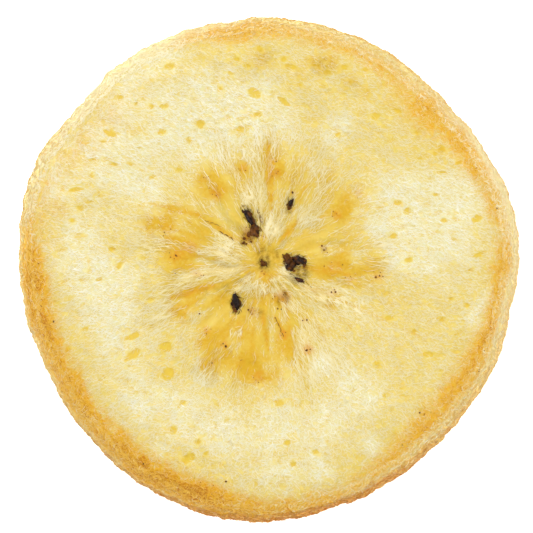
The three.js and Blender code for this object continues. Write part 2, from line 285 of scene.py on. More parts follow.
# Amber stains inside them: place, reach and strength, in pixels.
AMBER_STAINS = (
    (216, 196, 8, 0.6), (204, 180, 4, 0.4), (244, 168, 5, 0.6), (276, 174, 5, 0.8), (274, 162, 4, 0.4),
    (168, 232, 8, 0.5), (190, 248, 9, 0.45), (176, 257, 6, 0.6), (359, 194, 5, 0.7), (337, 216, 5, 0.6),
    (334, 268, 8, 0.6), (350, 280, 6, 0.55), (378, 278, 5, 0.6), (324, 250, 4, 0.7), (206, 331, 4, 0.7),
    (225, 346, 4, 0.6), (308, 350, 5, 0.8), (282, 336, 5, 0.8), (258, 378, 7, 0.6), (253, 312, 4, 0.8),
    (285, 297, 5, 0.9), (275, 298, 4, 0.5), (262, 274, 5, 0.6), (263, 237, 3, 0.6), (196, 274, 5, 0.4),
    (240, 362, 5, 0.4), (36, 293, 5, 0.5), (477, 373, 5, 0.4), (211, 491, 8, 0.6), (427, 415, 5, 0.35),
    (31, 270, 7, 0.3), (38, 306, 6, 0.4), (248, 236, 8, 0.5), (282, 296, 6, 0.5), (200, 484, 8, 0.4),
    (258, 316, 7, 0.35),
)

# Glassy windows of the core that no fibre crosses: place, reach and strength, in pixels.
GEL_WINDOWS = (
    (206, 168, 6, 0.9), (213, 173, 7, 0.9), (221, 180, 7, 0.9), (229, 188, 7, 0.9), (199, 190, 8, 0.8),
    (228, 204, 9, 0.8), (226, 214, 10, 0.9), (235, 222, 8, 0.9), (212, 220, 8, 0.7), (160, 212, 8, 0.6),
    (176, 214, 8, 0.6), (190, 212, 8, 0.6), (182, 234, 9, 0.6), (300, 244, 8, 0.9), (312, 248, 10, 0.95),
    (322, 236, 8, 0.8), (328, 226, 7, 0.6), (308, 236, 7, 0.6), (318, 266, 8, 0.6), (214, 318, 10, 0.8),
    (222, 332, 8, 0.7), (240, 320, 9, 0.7), (226, 364, 8, 0.6), (206, 352, 8, 0.7), (262, 342, 8, 0.6),
    (292, 322, 8, 0.7), (300, 308, 8, 0.6), (369, 189, 7, 0.8), (352, 206, 7, 0.7), (286, 376, 7, 0.7),
    (270, 250, 7, 0.8), (259, 249, 6, 0.7), (244, 262, 4, 0.5), (268, 180, 4, 0.6), (270, 196, 4, 0.5),
)

# Fluffy white tufts in the core: place, reach and strength, in pixels.
WHITE_TUFTS = (
    (270, 228, 11, 0.65), (252, 279, 9, 0.5), (266, 288, 10, 0.7), (279, 284, 8, 0.9), (248, 195, 10, 0.6),
    (228, 252, 13, 0.5), (222, 268, 11, 0.35), (318, 226, 14, 0.5), (300, 216, 8, 0.4), (338, 298, 16, 0.6),
    (360, 312, 14, 0.5), (188, 320, 14, 0.4), (240, 330, 12, 0.4), (262, 258, 4, 0.3), (283, 271, 5, 0.5),
    (243, 290, 6, 0.5), (298, 300, 8, 0.4), (196, 205, 8, 0.3), (316, 173, 14, 0.4), (250, 150, 14, 0.5),
)

# Painted olive-brown shade round the seeds, in the hollow of the crown and in the hollow under the top rim: place,
# reach and strength, in pixels.
PAINTED_SHADE_PATCHES = (
    (246, 213, 7, 0.85), (256, 214, 6, 0.5), (253, 233, 9, 0.95), (245, 240, 7, 0.85), (290, 204, 6, 0.75),
    (289, 211, 4, 0.6), (296, 264, 10, 0.75), (303, 272, 8, 0.6), (297, 281, 7, 0.6), (236, 302, 7, 0.75),
    (235, 311, 4, 0.6), (264, 264, 8, 0.9), (266, 252, 7, 0.4), (257, 250, 6, 0.25), (276, 255, 6, 0.4),
    (285, 297, 6, 0.75), (324, 250, 4, 0.4), (224, 287, 9, 0.35), (206, 294, 10, 0.3), (250, 311, 5, 0.5),
    (321, 67, 12, 0.25), (267, 57, 13, 0.22), (216, 65, 13, 0.2), (352, 88, 12, 0.2), (262, 222, 6, 0.3),
    (241, 300, 7, 0.5), (262, 314, 7, 0.35), (279, 303, 5, 0.35),
)

# Seeds and seed-like lumps, in pixels and degrees: place, length, width, bearing of the length, and how dark.
SEEDS = (
    (247.8, 216, 18, 7, 122, 1.0),
    (254.6, 230.8, 11, 9, 125, 0.45),
    (290.6, 203.0, 9, 4.5, 80, 0.95),
    (298.8, 261.4, 12, 8, 165, 1.0),
    (289.0, 266.8, 9, 7, 150, 0.85),
    (287.4, 259.2, 9, 7, 80, 0.5),
    (293.6, 264.2, 8, 6, 20, 0.9),
    (297.6, 280, 14, 4.5, 153, 0.75),
    (235.2, 303.8, 15, 7.4, 92, 1.0),
    (263.0, 264.0, 6.5, 4.5, 120, 0.4),
)

# Dark grains, in pixels: place and size.
GRAINS = (
    (244, 239, 3.2), (248.4, 234.8, 4.8), (243.3, 243.4, 3.1), (251, 242.4, 2.0), (246, 244.5, 2.2),
    (292.4, 193.2, 2.3), (289.2, 209, 3.4), (286.6, 205.4, 1.8), (235, 311.6, 3.2), (331.4, 293.4, 1.9),
    (335.2, 293.2, 2.4), (334, 290.6, 1.2), (302.8, 321.4, 1.6), (306.6, 321, 1.9), (306.6, 351.6, 2.5),
    (310.2, 350.4, 1.8), (225.6, 347.4, 2.3), (223, 344.6, 1.3), (199.3, 314.6, 1.8), (247.8, 310.6, 2.0),
    (200.6, 276, 1.3), (203.2, 276, 1.5), (175.7, 256.2, 1.7), (170.4, 258, 1.2), (175, 274.2, 1.3),
    (376, 278.6, 2.0), (379.6, 276.8, 1.5), (383, 277.6, 1.2), (321.6, 246.6, 2.0), (324, 251, 1.8),
    (260.6, 218, 1.3), (261.6, 222.4, 1.3), (259, 213.4, 1.2), (277.4, 309.4, 1.6), (281, 310, 1.2),
    (274.8, 318.6, 1.2), (286.4, 258.4, 1.8), (283.6, 262, 1.8), (282.6, 255.6, 1.6), (304, 267, 2.4),
    (294, 271.6, 2.2), (238.6, 298, 1.6), (232.8, 299, 1.4), (53, 322, 2.0), (420, 414, 1.8), (402, 446, 1.2),
    (143, 464.6, 2.0), (226, 482.6, 2.0), (497, 209.6, 1.5), (484, 352, 1.4), (283.4, 295.6, 1.3),
    (287, 299, 1.2), (212, 364, 1.2), (164, 233, 1.1),
)

# Dark threads that run through the core, in pixels: from, to and width.
DARK_THREADS = (
    ((218.4, 231.8), (233.8, 240.6), 1.2),
    ((204, 221), (219, 226.6), 0.7),
    ((275, 318.5), (283.4, 338), 0.9),
    ((256.6, 209.6), (262, 224.6), 0.8),
    ((240.6, 207.4), (246, 205.4), 0.8),
    ((305.6, 282.6), (312, 290), 0.7),
)

# Tints of the surface, which every mesh of flesh and fibre carries as attributes.
TINTS = ("straw", "gel", "gold", "amber", "smudge", "pore", "skin", "toast", "tuft")
GRAINY_TINTS = ("gold", "skin", "toast", "amber", "smudge")

# What each material lays over its own colour, in this order: tint, lowest, highest, share and colour.
FLESH_TINTS = (
    ("straw", 0.0, 1.0, 0.9, "straw"),
    ("pore", 0.0, 0.9, 0.85, "pore_floor"),
    ("gel", 0.0, 1.0, 1.0, "gel"),
    ("gold", 0.0, 1.0, 1.0, "gold"),
    ("amber", 0.0, 1.0, 0.85, "amber"),
    ("skin", 0.0, 1.0, 0.9, "skin"),
    ("skin", 0.9, 2.0, 0.95, "brown_crust"),
    ("tuft", 0.0, 1.0, 0.15, "down"),
    ("toast", 0.0, 0.6, 0.95, "golden_crust"),
    ("toast", 0.5, 1.1, 0.9, "brown_crust"),
    ("toast", 1.1, 1.6, 0.8, "burnt_crust"),
    # Painted shade in olive brown, laid last.
    ("smudge", 0.0, 1.0, 0.9, "smudge"),
)
FIBRE_TINTS = (
    ("straw", 0.0, 1.0, 0.5, "straw"),
    ("pore", 0.0, 1.0, 0.5, "straw"),
    ("gel", 0.0, 1.0, 0.45, "gel"),
    ("gold", 0.0, 1.0, 0.6, "gold"),
    ("skin", 0.8, 2.0, 0.85, "brown_crust"),
    ("tuft", 0.0, 1.0, 0.7, "down"),
    ("amber", 0.0, 1.0, 0.7, "amber"),
    ("toast", 0.0, 0.6, 0.9, "golden_fibre"),
    ("toast", 0.7, 1.5, 0.4, "brown_crust"),
    ("smudge", 0.0, 1.0, 0.7, "smudge"),
)
HUSK_TINTS = (("husk", 0.0, 1.0, 0.9, "husk"), ("husk", 1.0, 2.0, 0.9, "speck"))

# The camera looks almost straight down, tilted so that the wall at the lower right shows a little more. Its
# angles are in degrees, its distance in metres, its shift in the photograph's pixels and its sensor in millimetres.
CAMERA_TILT = 3.5
CAMERA_BEARING = -45.0
CAMERA_DISTANCE = 0.6
CAMERA_SHIFT = (-2.6, 2.6)
FRAMING = 1.0045
SENSOR = 36.0

# The stage, in metres and watts: half the floor's side and how far it lies below the slice, the sky, and each
# lamp's name, place, side and power.
FLOOR_REACH = 1.5
FLOOR_DROP = 0.02 * MM
SKY = (0.99, 0.99, 0.945, 1)
SKY_STRENGTH = 0.45
LAMPS = (("window", (-0.13, 0.2, 0.35), 0.18, 1.18), ("fill", (0.26, -0.22, 0.3), 0.3, 0.85))


def smoothstep(value, low, high):
    share = np.clip((value - low) / (high - low), 0, 1)
    return share * share * (3 - 2 * share)


def bell(distance, width):
    return np.exp(-((distance / width) ** 2))


def turn_between(one, other):
    """The smaller turn between two bearings, in degrees."""
    return np.abs((one - other + 180) % 360 - 180)


def near(bearing, middle, spread):
    """1 at the middle bearing, fading over the spread to both sides of it."""
    return bell(turn_between(bearing, middle), spread)


def facing(bearing, middle):
    """1 at the middle bearing, falling to 0 opposite it."""
    return 0.5 + 0.5 * np.cos(np.radians(bearing - middle))


def spot(across, down):
    """A pixel of the photograph as millimetres from the slice's middle."""
    return (across - PHOTO_MIDDLE[0]) * PIXEL, (PHOTO_MIDDLE[1] - down) * PIXEL


def turned(along, over, bearing):
    """A step along a bearing and square to it, as a step in x and y."""
    c, s = math.cos(math.radians(bearing)), math.sin(math.radians(bearing))
    return along * c - over * s, along * s + over * c


def noise(places, size, seed):
    """Smooth noise from -1 to 1 over places in millimetres: seeded values on a lattice, blended between."""
    values = np.random.default_rng(seed).uniform(-1, 1, (LATTICE, LATTICE, LATTICE))
    spots = np.asarray(places, float) / size
    corner = np.floor(spots).astype(int)
    part = spots - corner
    part = part * part * (3 - 2 * part)
    total = 0
    for offset in np.ndindex(2, 2, 2):
        weight = np.prod(np.where(np.array(offset) == 1, part, 1 - part), axis=-1)
        i, j, k = np.moveaxis((corner + offset) % LATTICE, -1, 0)
        total = total + weight * values[i, j, k]
    return total


def layered_noise(places, layers):
    return sum(share * noise(places, size, seed) for share, size, seed in layers)


def ring_places(bearing, up):
    """Places on a plain ring round the slice, where the noises of its wall are read."""
    t = np.radians(bearing)
    return np.stack([WALL_RADIUS * np.cos(t), WALL_RADIUS * np.sin(t), THICKNESS * up], axis=-1)


@lru_cache
def edge_noise():
    """The crumbled line of the upper edge: how far it stands out at each step round it."""
    bearing = np.arange(360 * EDGE_STEPS) / EDGE_STEPS
    return layered_noise(ring_places(bearing, 0 * bearing), EDGE_CRUMBS)


def edge_radius(bearing):
    """Where the upper face ends at a bearing."""
    step = np.round(np.asarray(bearing) * EDGE_STEPS).astype(int) % (360 * EDGE_STEPS)
    return wall_radius(bearing) - WALL_BULGE + edge_noise()[step]


def wall_radius(bearing):
    """The widest reach of the wall at a bearing."""
    swell = sum(s * near(bearing, b, spread) for b, s, spread in OUTLINE_SWELLS)
    t = np.radians(bearing)
    ripple = np.sin(17 * t + 1.1) + np.sin(29 * t + 4.2) + 0.7 * np.sin(43 * t)
    return DIAMETER / 2 - WALL_RIPPLE + swell + WALL_RIPPLE * ripple / 2.7


@lru_cache
def outline_shift():
    """How far the middle of the outline lies from the point that the wall is turned about."""
    bearing = np.linspace(0, 360, 1441)
    reach = wall_radius(bearing)
    across = reach * np.cos(np.radians(bearing))
    up = reach * np.sin(np.radians(bearing))
    return (across.max() + across.min()) / 2, (up.max() + up.min()) / 2


def shoulder_width(bearing):
    return SHOULDER_WIDTH * (1 + 0.22 * np.cos(np.radians(bearing - WIDE_SHOULDER_BEARING)))


def rim_lift(bearing):
    t = np.radians(bearing)
    return RIM_WAVE * (np.sin(t + 0.9) + 0.6 * np.sin(3 * t + 2.2) + 0.3 * np.sin(7 * t)) - RIM_WAVE


def core_fan(reach, t):
    """Radial ridges that fan out from the middle of the core, from -1 to 1."""
    share = smoothstep(reach, 0.9, 2.2) * (1 - smoothstep(reach, 4.6, CORE_RADIUS + 1))
    bent = t + 0.1 * np.sin(1.2 * reach + 3 * t)
    ridges = np.sin(7 * bent + 0.6) + 0.8 * np.sin(12 * bent + 2.4) + 0.7 * np.sin(19 * bent)
    return share * ridges / 2.5


def upper_core(x, y):
    reach = np.hypot(x - CORE_X, y - CORE_Y)
    t = np.arctan2(y - CORE_Y, x - CORE_X)
    sunk = -CORE_DEPTH * (1 - smoothstep(reach, 1.8, CORE_RADIUS))
    knobs = 0.75 + 0.25 * np.sin(7 * t + 1.2)
    crown = CROWN_HEIGHT * knobs * bell(reach - CROWN_RADIUS, 0.6)
    return sunk + CORE_RIDGE_HEIGHT * core_fan(reach, t) + crown


def lower_core(x, y):
    reach = np.hypot(x - CORE_X, y - CORE_Y)
    t = np.arctan2(y - CORE_Y, x - CORE_X)
    recess = 1 - smoothstep(reach, 2.5, CORE_RADIUS)
    return LOWER_CORE_DEPTH * recess * (1 - 0.4 * core_fan(reach, t))


def undulation(x, y):
    waves = (
        np.sin(0.9 * x + 0.5 * y + 1.6 * np.sin(0.45 * y + 1))
        + np.sin(1.3 * y - 0.6 * x + 1.4 * np.sin(0.5 * x + 2))
        + 0.6 * np.sin(2.2 * x + 1.7 * y + 2 * np.sin(0.9 * x - 0.7 * y))
    )
    swell = sum(h * bell(np.hypot(x - sx, y - sy), reach) for sx, sy, reach, h in FACE_SWELLS)
    return FACE_UNDULATION * waves / 2.6 + swell


def upper_height(x, y):
    """Height of the upper face, from a place about the point that the wall is turned about."""
    bearing = np.degrees(np.arctan2(y, x))
    inward = wall_radius(bearing) - WALL_BULGE - np.hypot(x, y)
    shoulder = shoulder_width(bearing)
    falling = np.maximum(0, 1 - inward / shoulder)
    dished = smoothstep(inward - shoulder, 0, DISH_RUN)
    calm = smoothstep(inward, 0, shoulder)
    return (
        THICKNESS
        + rim_lift(bearing) * (1 - dished)
        - SHOULDER_DROP * falling**2
        - DISH_DEPTH * dished
        + calm * undulation(x, y)
        + upper_core(x, y)
    )


def lower_height(x, y):
    bearing = np.degrees(np.arctan2(y, x))
    inward = wall_radius(bearing) - WALL_BULGE - np.hypot(x, y)
    return HEEL_RISE * np.maximum(0, 1 - inward / HEEL_WIDTH) ** 2 + lower_core(x, y)


class FaceMap:
    """A square map of the upper face: layers of height, relief and tint that can be read at any place."""

    # Half the side of the map in millimetres, and the places along the side.
    REACH = 17.0
    SIDE = 533

    def __init__(self):
        line = np.linspace(-self.REACH, self.REACH, self.SIDE)
        self.x, self.y = np.meshgrid(line, line)
        self.pitch = line[1] - line[0]
        self.places = np.stack([self.x, self.y, np.zeros_like(self.x)], axis=-1)
        self.layers = {}

    def read(self, name, x, y):
        layer = self.layers[name]
        across = np.clip((x + self.REACH) / self.pitch, 0, self.SIDE - 1.001)
        up = np.clip((y + self.REACH) / self.pitch, 0, self.SIDE - 1.001)
        i, j = across.astype(int), up.astype(int)
        s, t = across - i, up - j
        below = (1 - s) * layer[j, i] + s * layer[j, i + 1]
        above = (1 - s) * layer[j + 1, i] + s * layer[j + 1, i + 1]
        return (1 - t) * below + t * above

    def span(self, middle, reach):
        """The rows or the columns of the map within reach of their middle."""
        first, last = (int((middle + step + self.REACH) / self.pitch) for step in (-reach, reach))
        return slice(max(0, first), max(0, last + 2))

    def window(self, x, y, reach):
        """The part of the map within reach of a place."""
        return self.span(y, reach), self.span(x, reach)

    def oval(self, x, y, length, width, bearing):
        """The window round an oval, and how far out each of its places is, squared: 1 on the oval's edge."""
        view = self.window(x, y, length)
        dx, dy = self.x[view] - x, self.y[view] - y
        c, s = math.cos(math.radians(bearing)), math.sin(math.radians(bearing))
        along, over = (dx * c + dy * s) * 2 / length, (dy * c - dx * s) * 2 / width
        return view, along**2 + over**2

    def patches(self, spots):
        """Soft round patches, laid over each other without ever passing 1."""
        bare = np.ones_like(self.x)
        for across, down, reach, strength in spots:
            x, y = spot(across, down)
            view = self.window(x, y, 3 * reach * PIXEL)
            distance = np.hypot(self.x[view] - x, self.y[view] - y)
            bare[view] *= 1 - strength * bell(distance, reach * PIXEL)
        return 1 - bare

    def streaks(self, lines):
        """Soft streaks between two places each, narrow at their ends, laid over each other like the patches."""
        bare = np.ones_like(self.x)
        for from_x, from_y, to_x, to_y, width, strength in lines:
            start, end = np.array(spot(from_x, from_y)), np.array(spot(to_x, to_y))
            along = end - start
            view = self.window(*(start + end) / 2, np.hypot(*along) / 2 + 3 * width * PIXEL)
            dx, dy = self.x[view] - start[0], self.y[view] - start[1]
            share = np.clip((dx * along[0] + dy * along[1]) / (along @ along), 0, 1)
            distance = np.hypot(dx - share * along[0], dy - share * along[1])
            narrow = 0.4 + 2.4 * share * (1 - share)
            bare[view] *= 1 - strength * bell(distance, narrow * width * PIXEL)
        return 1 - bare


def scattered_pores():
    """Small pores strewn over the face, longer than wide and lying roughly from left to right."""
    rng = np.random.default_rng(RANDOM_SEEDS["pores"])
    for _ in range(bpy.context.scene.slice_sizes.small_pores):
        reach, turn = STREWN_REACH * math.sqrt(rng.random()), rng.uniform(0, 2 * math.pi)
        width = rng.uniform(0.1, 0.2) * (1 + rng.random() ** 4)
        length = width * rng.uniform(1.1, 2.4)
        bearing = rng.normal(0, 25)
        x, y = reach * math.cos(turn), reach * math.sin(turn)
        depth = 0.55 if reach > CORE_RADIUS else 0.25
        yield x, y, length, width, bearing, depth * rng.uniform(0.5, 1.0)


def sink_pores(face):
    """Sinks the pores into the relief, and marks their floors in the pore and clear layers."""
    relief, tint, clear = (np.zeros_like(face.x) for _ in range(3))
    ragged = 1 + layered_noise(face.places, PORE_EDGES)
    named = [(*spot(px, py), l * PIXEL, w * PIXEL, b, 1.0) for px, py, l, w, b in OPEN_PORES]
    for x, y, length, width, bearing, depth in [*named, *scattered_pores()]:
        view, out = face.oval(x, y, length, width, bearing)
        out = out * ragged[view]
        bowl = np.sqrt(np.clip(1 - out, 0, 1))
        relief[view] = np.minimum(relief[view], -np.minimum(0.3 * width, 0.09) * depth * bowl)
        tint[view] = np.maximum(tint[view], depth * smoothstep(1.2 - out, 0, 0.4))
        clear[view] = np.maximum(clear[view], depth * smoothstep(1.2 - out, 0, 0.6))
    return relief, tint, clear


def toast(bearing, inward):
    """How toasted the shoulder is, from 0 to about 1, with a strip of pale fuzz close inside the outline."""
    total = sum(
        strength * near(bearing, b, TOAST_SPREAD) * bell(inward - middle, width)
        for b, middle, width, strength in TOASTED_STRETCHES
    )
    fuzzy, upper = near(bearing, *FUZZY_EDGE), near(bearing, *PALE_EDGE)
    pale = (0.1 + 0.6 * fuzzy + 0.2 * upper) * bell(inward - 0.3 - 0.1 * fuzzy, 0.2)
    return total * (1 - pale)


def lay_relief(face, reach):
    """Lays the height of the face: its dished form with lumps, pores, streaks, tufts and seats for the seeds."""
    layers = face.layers
    shift_x, shift_y = outline_shift()
    x, y = face.x + shift_x, face.y + shift_y
    layers["bearing"] = np.degrees(np.arctan2(y, x))
    layers["inward"] = wall_radius(layers["bearing"]) - np.hypot(x, y)
    pores, layers["pore"], layers["clear"] = sink_pores(face)
    relief = layered_noise(face.places, FACE_LUMPS) * (1 - 0.5 * layers["core"]) + pores
    relief = relief + 0.06 * layers["streak"] * layers["core"] * smoothstep(reach, 0.6, 1.6)
    wool = 0.13 * layers["tuft"] * (0.6 + noise(face.places, 0.4, 24))
    relief = relief + wool * (1 - smoothstep(reach, 2, 4))
    for px, py, length, width, turn, _ in SEEDS:
        view, out = face.oval(*spot(px, py), 1.5 * length * PIXEL, 1.7 * width * PIXEL, turn)
        relief[view] -= 0.22 * np.clip(1 - out, 0, 1)
    rim_calm = 0.6 + 0.4 * smoothstep(layers["inward"], WALL_BULGE, WALL_BULGE + 0.6)
    plain = upper_height(x, y)
    layers["height"] = plain + relief * rim_calm
    layers["slope_y"], layers["slope_x"] = np.gradient(plain, face.pitch)


def lay_tints(face, reach, around):
    """Lays the tints of the face, from its distance and its bearing from the middle of the core."""
    layers, places = face.layers, face.places
    streaks, silk, tufts = layers["streak"], layers["silk"], layers["tuft"]
    lobes = sum(s * near(around, b, spread) for b, s, spread in CORE_LOBES)
    star = CORE_REACH + lobes + 1.5 * streaks
    gel = 1 - smoothstep(reach, star - 1.4, star + 0.9)
    mottle = 0.5 + 0.5 * noise(places, 0.9, 31)
    layers["gel"] = np.clip(gel * (0.66 + 0.5 * streaks + 0.2 * mottle + 0.3 * silk) - 0.15 * tufts, 0, 1)
    white = face.patches([(*place, 0.75) for place in WHITE_FIELDS])
    clumps = layered_noise(places, SUGAR_CLUMPS) + 0.5 * streaks
    layers["straw"] = np.clip(1 - white + 0.4 * clumps, 0, 1)
    ragged = 0.75 + 0.5 * noise(places, 0.7, 32)
    threads = face.streaks(GOLDEN_STREAKS) * (0.9 + 0.5 * noise(places, 0.5, 39))
    # The golden layer also carries the painted shade in the hollow under the top rim.
    golden = face.patches(GOLDEN_AND_SHADE_PATCHES) * (ragged + (0.35 * streaks + 0.4 * silk) * layers["core"])
    layers["gold"] = np.clip(golden + threads, 0, 1)
    halos = [(px, py, 1.3 * size, 0.45) for px, py, size in GRAINS]
    amber = face.patches([*AMBER_STAINS, *halos]) * (0.5 + 0.8 * ragged * (0.7 + streaks))
    layers["amber"] = np.clip(amber + 0.4 * threads, 0, 1)
    # Painted shade: olive brown round the seeds, in the hollow of the crown and under the top rim.
    layers["smudge"] = np.clip(face.patches(PAINTED_SHADE_PATCHES) * (0.85 + 0.6 * noise(places, 0.22, 33)), 0, 1)
    glassy = face.patches(GEL_WINDOWS) * (1 + 0.4 * noise(places, 0.4, 38) + 0.4 * streaks)
    layers["clear"] = np.maximum(layers["clear"], 1.3 * glassy)
    toasted = toast(layers["bearing"], layers["inward"] + layered_noise(places, TOAST_WANDER))
    layers["toast"] = np.clip(toasted * (1 + layered_noise(places, TOAST_GRAIN)), 0, 1.3)
    layers["skin"] = np.zeros_like(reach)


@lru_cache
def face_map():
    """Works out the whole upper face once: its height, its relief and every tint."""
    face = FaceMap()
    core_x, core_y = spot(*PHOTO_CORE)
    reach = np.hypot(face.x - core_x, face.y - core_y)
    t = np.arctan2(face.y - core_y, face.x - core_x)
    # Silky streaks run out from the middle of the core.
    fan = np.stack([3 * np.cos(t), 3 * np.sin(t), reach * 0.12], axis=-1)
    fluff = 0.75 + layered_noise(face.places, TUFT_FLUFF)
    face.layers = {
        "streak": layered_noise(fan, CORE_STREAKS),
        "silk": layered_noise(fan, CORE_SILK),
        "tuft": np.clip(face.patches(WHITE_TUFTS) * fluff, 0, 1),
        "core": 1 - smoothstep(reach, 5.2, 8.2),
    }
    lay_relief(face, reach)
    lay_tints(face, reach, np.degrees(t))
    return face


def crust_relief(bearing, up):
    """How far the toasted wall stands out of its plain bulge: crags, and the seam under the shoulder."""
    crags = layered_noise(ring_places(bearing, up), WALL_CRAGS)
    seam = 0.08 * bell(up - SEAM_LEVEL, SEAM_WIDTH) * facing(bearing, SEAM_BEARING) ** 3
    return (crags - seam) * smoothstep(1 - up, 0, 0.04)


def wall_place(bearing, up, stand=0.0):
    """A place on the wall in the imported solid's frame, from its bearing and its share of the height."""
    t = np.radians(bearing)
    edge = edge_radius(bearing)
    shift_x, shift_y = outline_shift()
    edge_x, edge_y = edge * np.cos(t), edge * np.sin(t)
    top = face_map().read("height", edge_x - shift_x, edge_y - shift_y)
    bottom = lower_height(edge_x, edge_y)
    bulge = WALL_BULGE * (1 - np.abs(2 * up - 1) ** WALL_ROUNDNESS)
    reach = edge + bulge + crust_relief(bearing, up) + stand
    return np.stack(
        [reach * np.cos(t) - shift_x, reach * np.sin(t) - shift_y, bottom + (top - bottom) * up], axis=-1
    )


def rim_place(bearing, across, stand):
    """A place by the edge, and the way it faces: across runs in over the face, or down the wall if below 0."""
    t = np.radians(bearing)
    face = face_map()
    shift_x, shift_y = outline_shift()
    reach = edge_radius(bearing) - across
    x, y = reach * np.cos(t) - shift_x, reach * np.sin(t) - shift_y
    on_face = np.stack([x, y, face.read("height", x, y) + stand], axis=-1)
    on_wall = wall_place(bearing, np.clip(1 + across / WALL_HEIGHT, 0, 1), stand)
    over = (across > 0)[..., None]
    lean = np.where(across > 0, 0.6, 1.3)
    outward = np.stack([lean * np.cos(t), lean * np.sin(t), np.ones_like(t)], axis=-1)
    return np.where(over, on_face, on_wall), outward


def wall_tints(bearing, up):
    """The wall's tints: golden under the edge, then tan skin, which is brown where its tint is above 1, and paler
    with painted highlight at the top left.
    """
    places = ring_places(bearing, up)
    patchy = layered_noise(places, WALL_PATCHES)
    dashes = noise(places * np.array([1, 1, 3.5]), 0.8, 49)
    inward = WALL_BULGE * np.maximum(0, 2 * up - 1) ** WALL_ROUNDNESS
    at_top = toast(bearing, inward) * smoothstep(inward, -0.1, 0.4) * (1 + 0.6 * patchy)
    # The tan skin reaches highest at the lower right and least high at the top left, towards the window lamp: the
    # skin's own tan, with painted shade and painted highlight along it.
    lower_right = facing(bearing, TAN_BEARING)
    lamp_side = 1 - lower_right
    # Paler at the top left, where the light falls, is painted highlight; the stretch at the right is unbaked.
    unbaked_and_highlit = np.maximum(near(bearing, *PAINTED_HIGHLIGHT_TOP), near(bearing, *UNBAKED_RIGHT))
    deep = near(bearing, *DEEP_TOAST)
    skin_begins = 0.08 + 0.16 * lamp_side - 0.06 * deep
    skin_is_full = 0.2 + 0.28 * lamp_side + 0.25 * unbaked_and_highlit - 0.08 * deep
    down = smoothstep(1 - up, skin_begins, skin_is_full)
    # The white of the down at the top left is painted highlight; at the right and the left it is downy fuzz.
    downy_and_highlit = 0.9 * near(bearing, *PAINTED_GLARE_TOP) + 0.8 * near(bearing, *DOWNY_RIGHT)
    downy_and_highlit = (downy_and_highlit + 0.45 * near(bearing, *DOWNY_LEFT)) * smoothstep(up, 0.3, 0.6)
    brown = 1.2 * near(bearing, *BROWN_WALL) + 0.9 * patchy + 0.6 * dashes
    brown = np.clip(brown + 0.4 * (1 - smoothstep(up, 0.05, 0.4)), 0, 1.3)
    skin = down * (1 + brown) * (1 - 0.6 * downy_and_highlit)
    skin = skin + 0.8 * lower_right**3 * bell(up - SEAM_LEVEL, SEAM_WIDTH) * (1 + noise(places, 0.5, 48))
    tints = dict.fromkeys(TINTS, np.zeros_like(brown))
    straw = (0.6 - 0.3 * patchy) * (1 - 0.8 * unbaked_and_highlit)
    # On the wall the tuft tint carries that painted highlight and the downy stretches.
    return tints | {"straw": straw, "skin": skin, "toast": at_top * (1 - 0.7 * down), "tuft": downy_and_highlit}


def metres(places):
    """Millimetres of the nominal slice as metres of the slice that is asked for."""
    return places * MM * bpy.context.scene.slice_sizes.diameter / (DIAMETER * MM)


def linear(code):
    """An sRGB hex colour as linear red, green, blue and alpha."""
    parts = [int(code[i : i + 2], 16) / 255 for i in (1, 3, 5)]
    return [p / 12.92 if p <= 0.04045 else ((p + 0.055) / 1.055) ** 2.4 for p in parts] + [1.0]


def tone(name):
    """A colour that the user may change, by its name."""
    return tuple(getattr(bpy.context.scene.slice_colours, name))


def add_piece(mesh, material, slot):
    """Puts a finished mesh in the scene as a piece of the same name that moves with the slice."""
    piece = bpy.data.objects.new(mesh.name, mesh)
    bpy.context.scene.collection.objects.link(piece)
    mesh.materials.append(material)
    mesh.polygons.foreach_set("use_smooth", [slot != "fibre"] * len(mesh.polygons))
    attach(piece, "root")
    return piece


def get_places(mesh):
    places = np.empty(len(mesh.vertices) * 3, np.float32)
    mesh.vertices.foreach_get("co", places)
    return places.reshape(-1, 3).astype(float)


def set_places(mesh, places):
    mesh.vertices.foreach_set("co", np.asarray(places, np.float32).ravel())
    mesh.update()


def set_tint(mesh, name, values):
    layer = mesh.attributes.new(name, "FLOAT", "POINT")
    layer.data.foreach_set("value", np.asarray(values, np.float32).ravel())


def add_node(tree, kind, inputs=None, **settings):
    """Adds a shader node: its own settings, and a value or a feeding socket for each input named."""
    made = tree.nodes.new(kind)
    for name, value in settings.items():
        setattr(made, name, value)
    for name, value in (inputs or {}).items():
        if isinstance(value, bpy.types.NodeSocket):
            tree.links.new(value, made.inputs[name])
        else:
            made.inputs[name].default_value = value
    return made


def new_material(name):
    """A material without nodes, and its tree."""
    material = bpy.data.materials.new(name)
    material.use_nodes = True
    material.node_tree.nodes.clear()
    return material, material.node_tree


def tinted(tree, base, layers, grain=None):
    """Lays tints over a colour, each as one of the tables of tints says, and some of them grainy."""
    colour = base
    for attribute, low, high, share, name in layers:
        amount = add_node(tree, "ShaderNodeAttribute", attribute_name=attribute).outputs["Fac"]
        if grain and attribute in GRAINY_TINTS:
            amount = add_node(tree, "ShaderNodeMath", {0: amount, 1: grain}, operation="MULTIPLY").outputs[0]
        span = {"Value": amount, "From Min": low, "From Max": high, "To Max": share}
        ramp = add_node(tree, "ShaderNodeMapRange", span, interpolation_type="SMOOTHSTEP")
        blend = {0: ramp.outputs["Result"], 6: colour, 7: tone(name)}
        colour = add_node(tree, "ShaderNodeMix", blend, data_type="RGBA").outputs[2]
    return colour


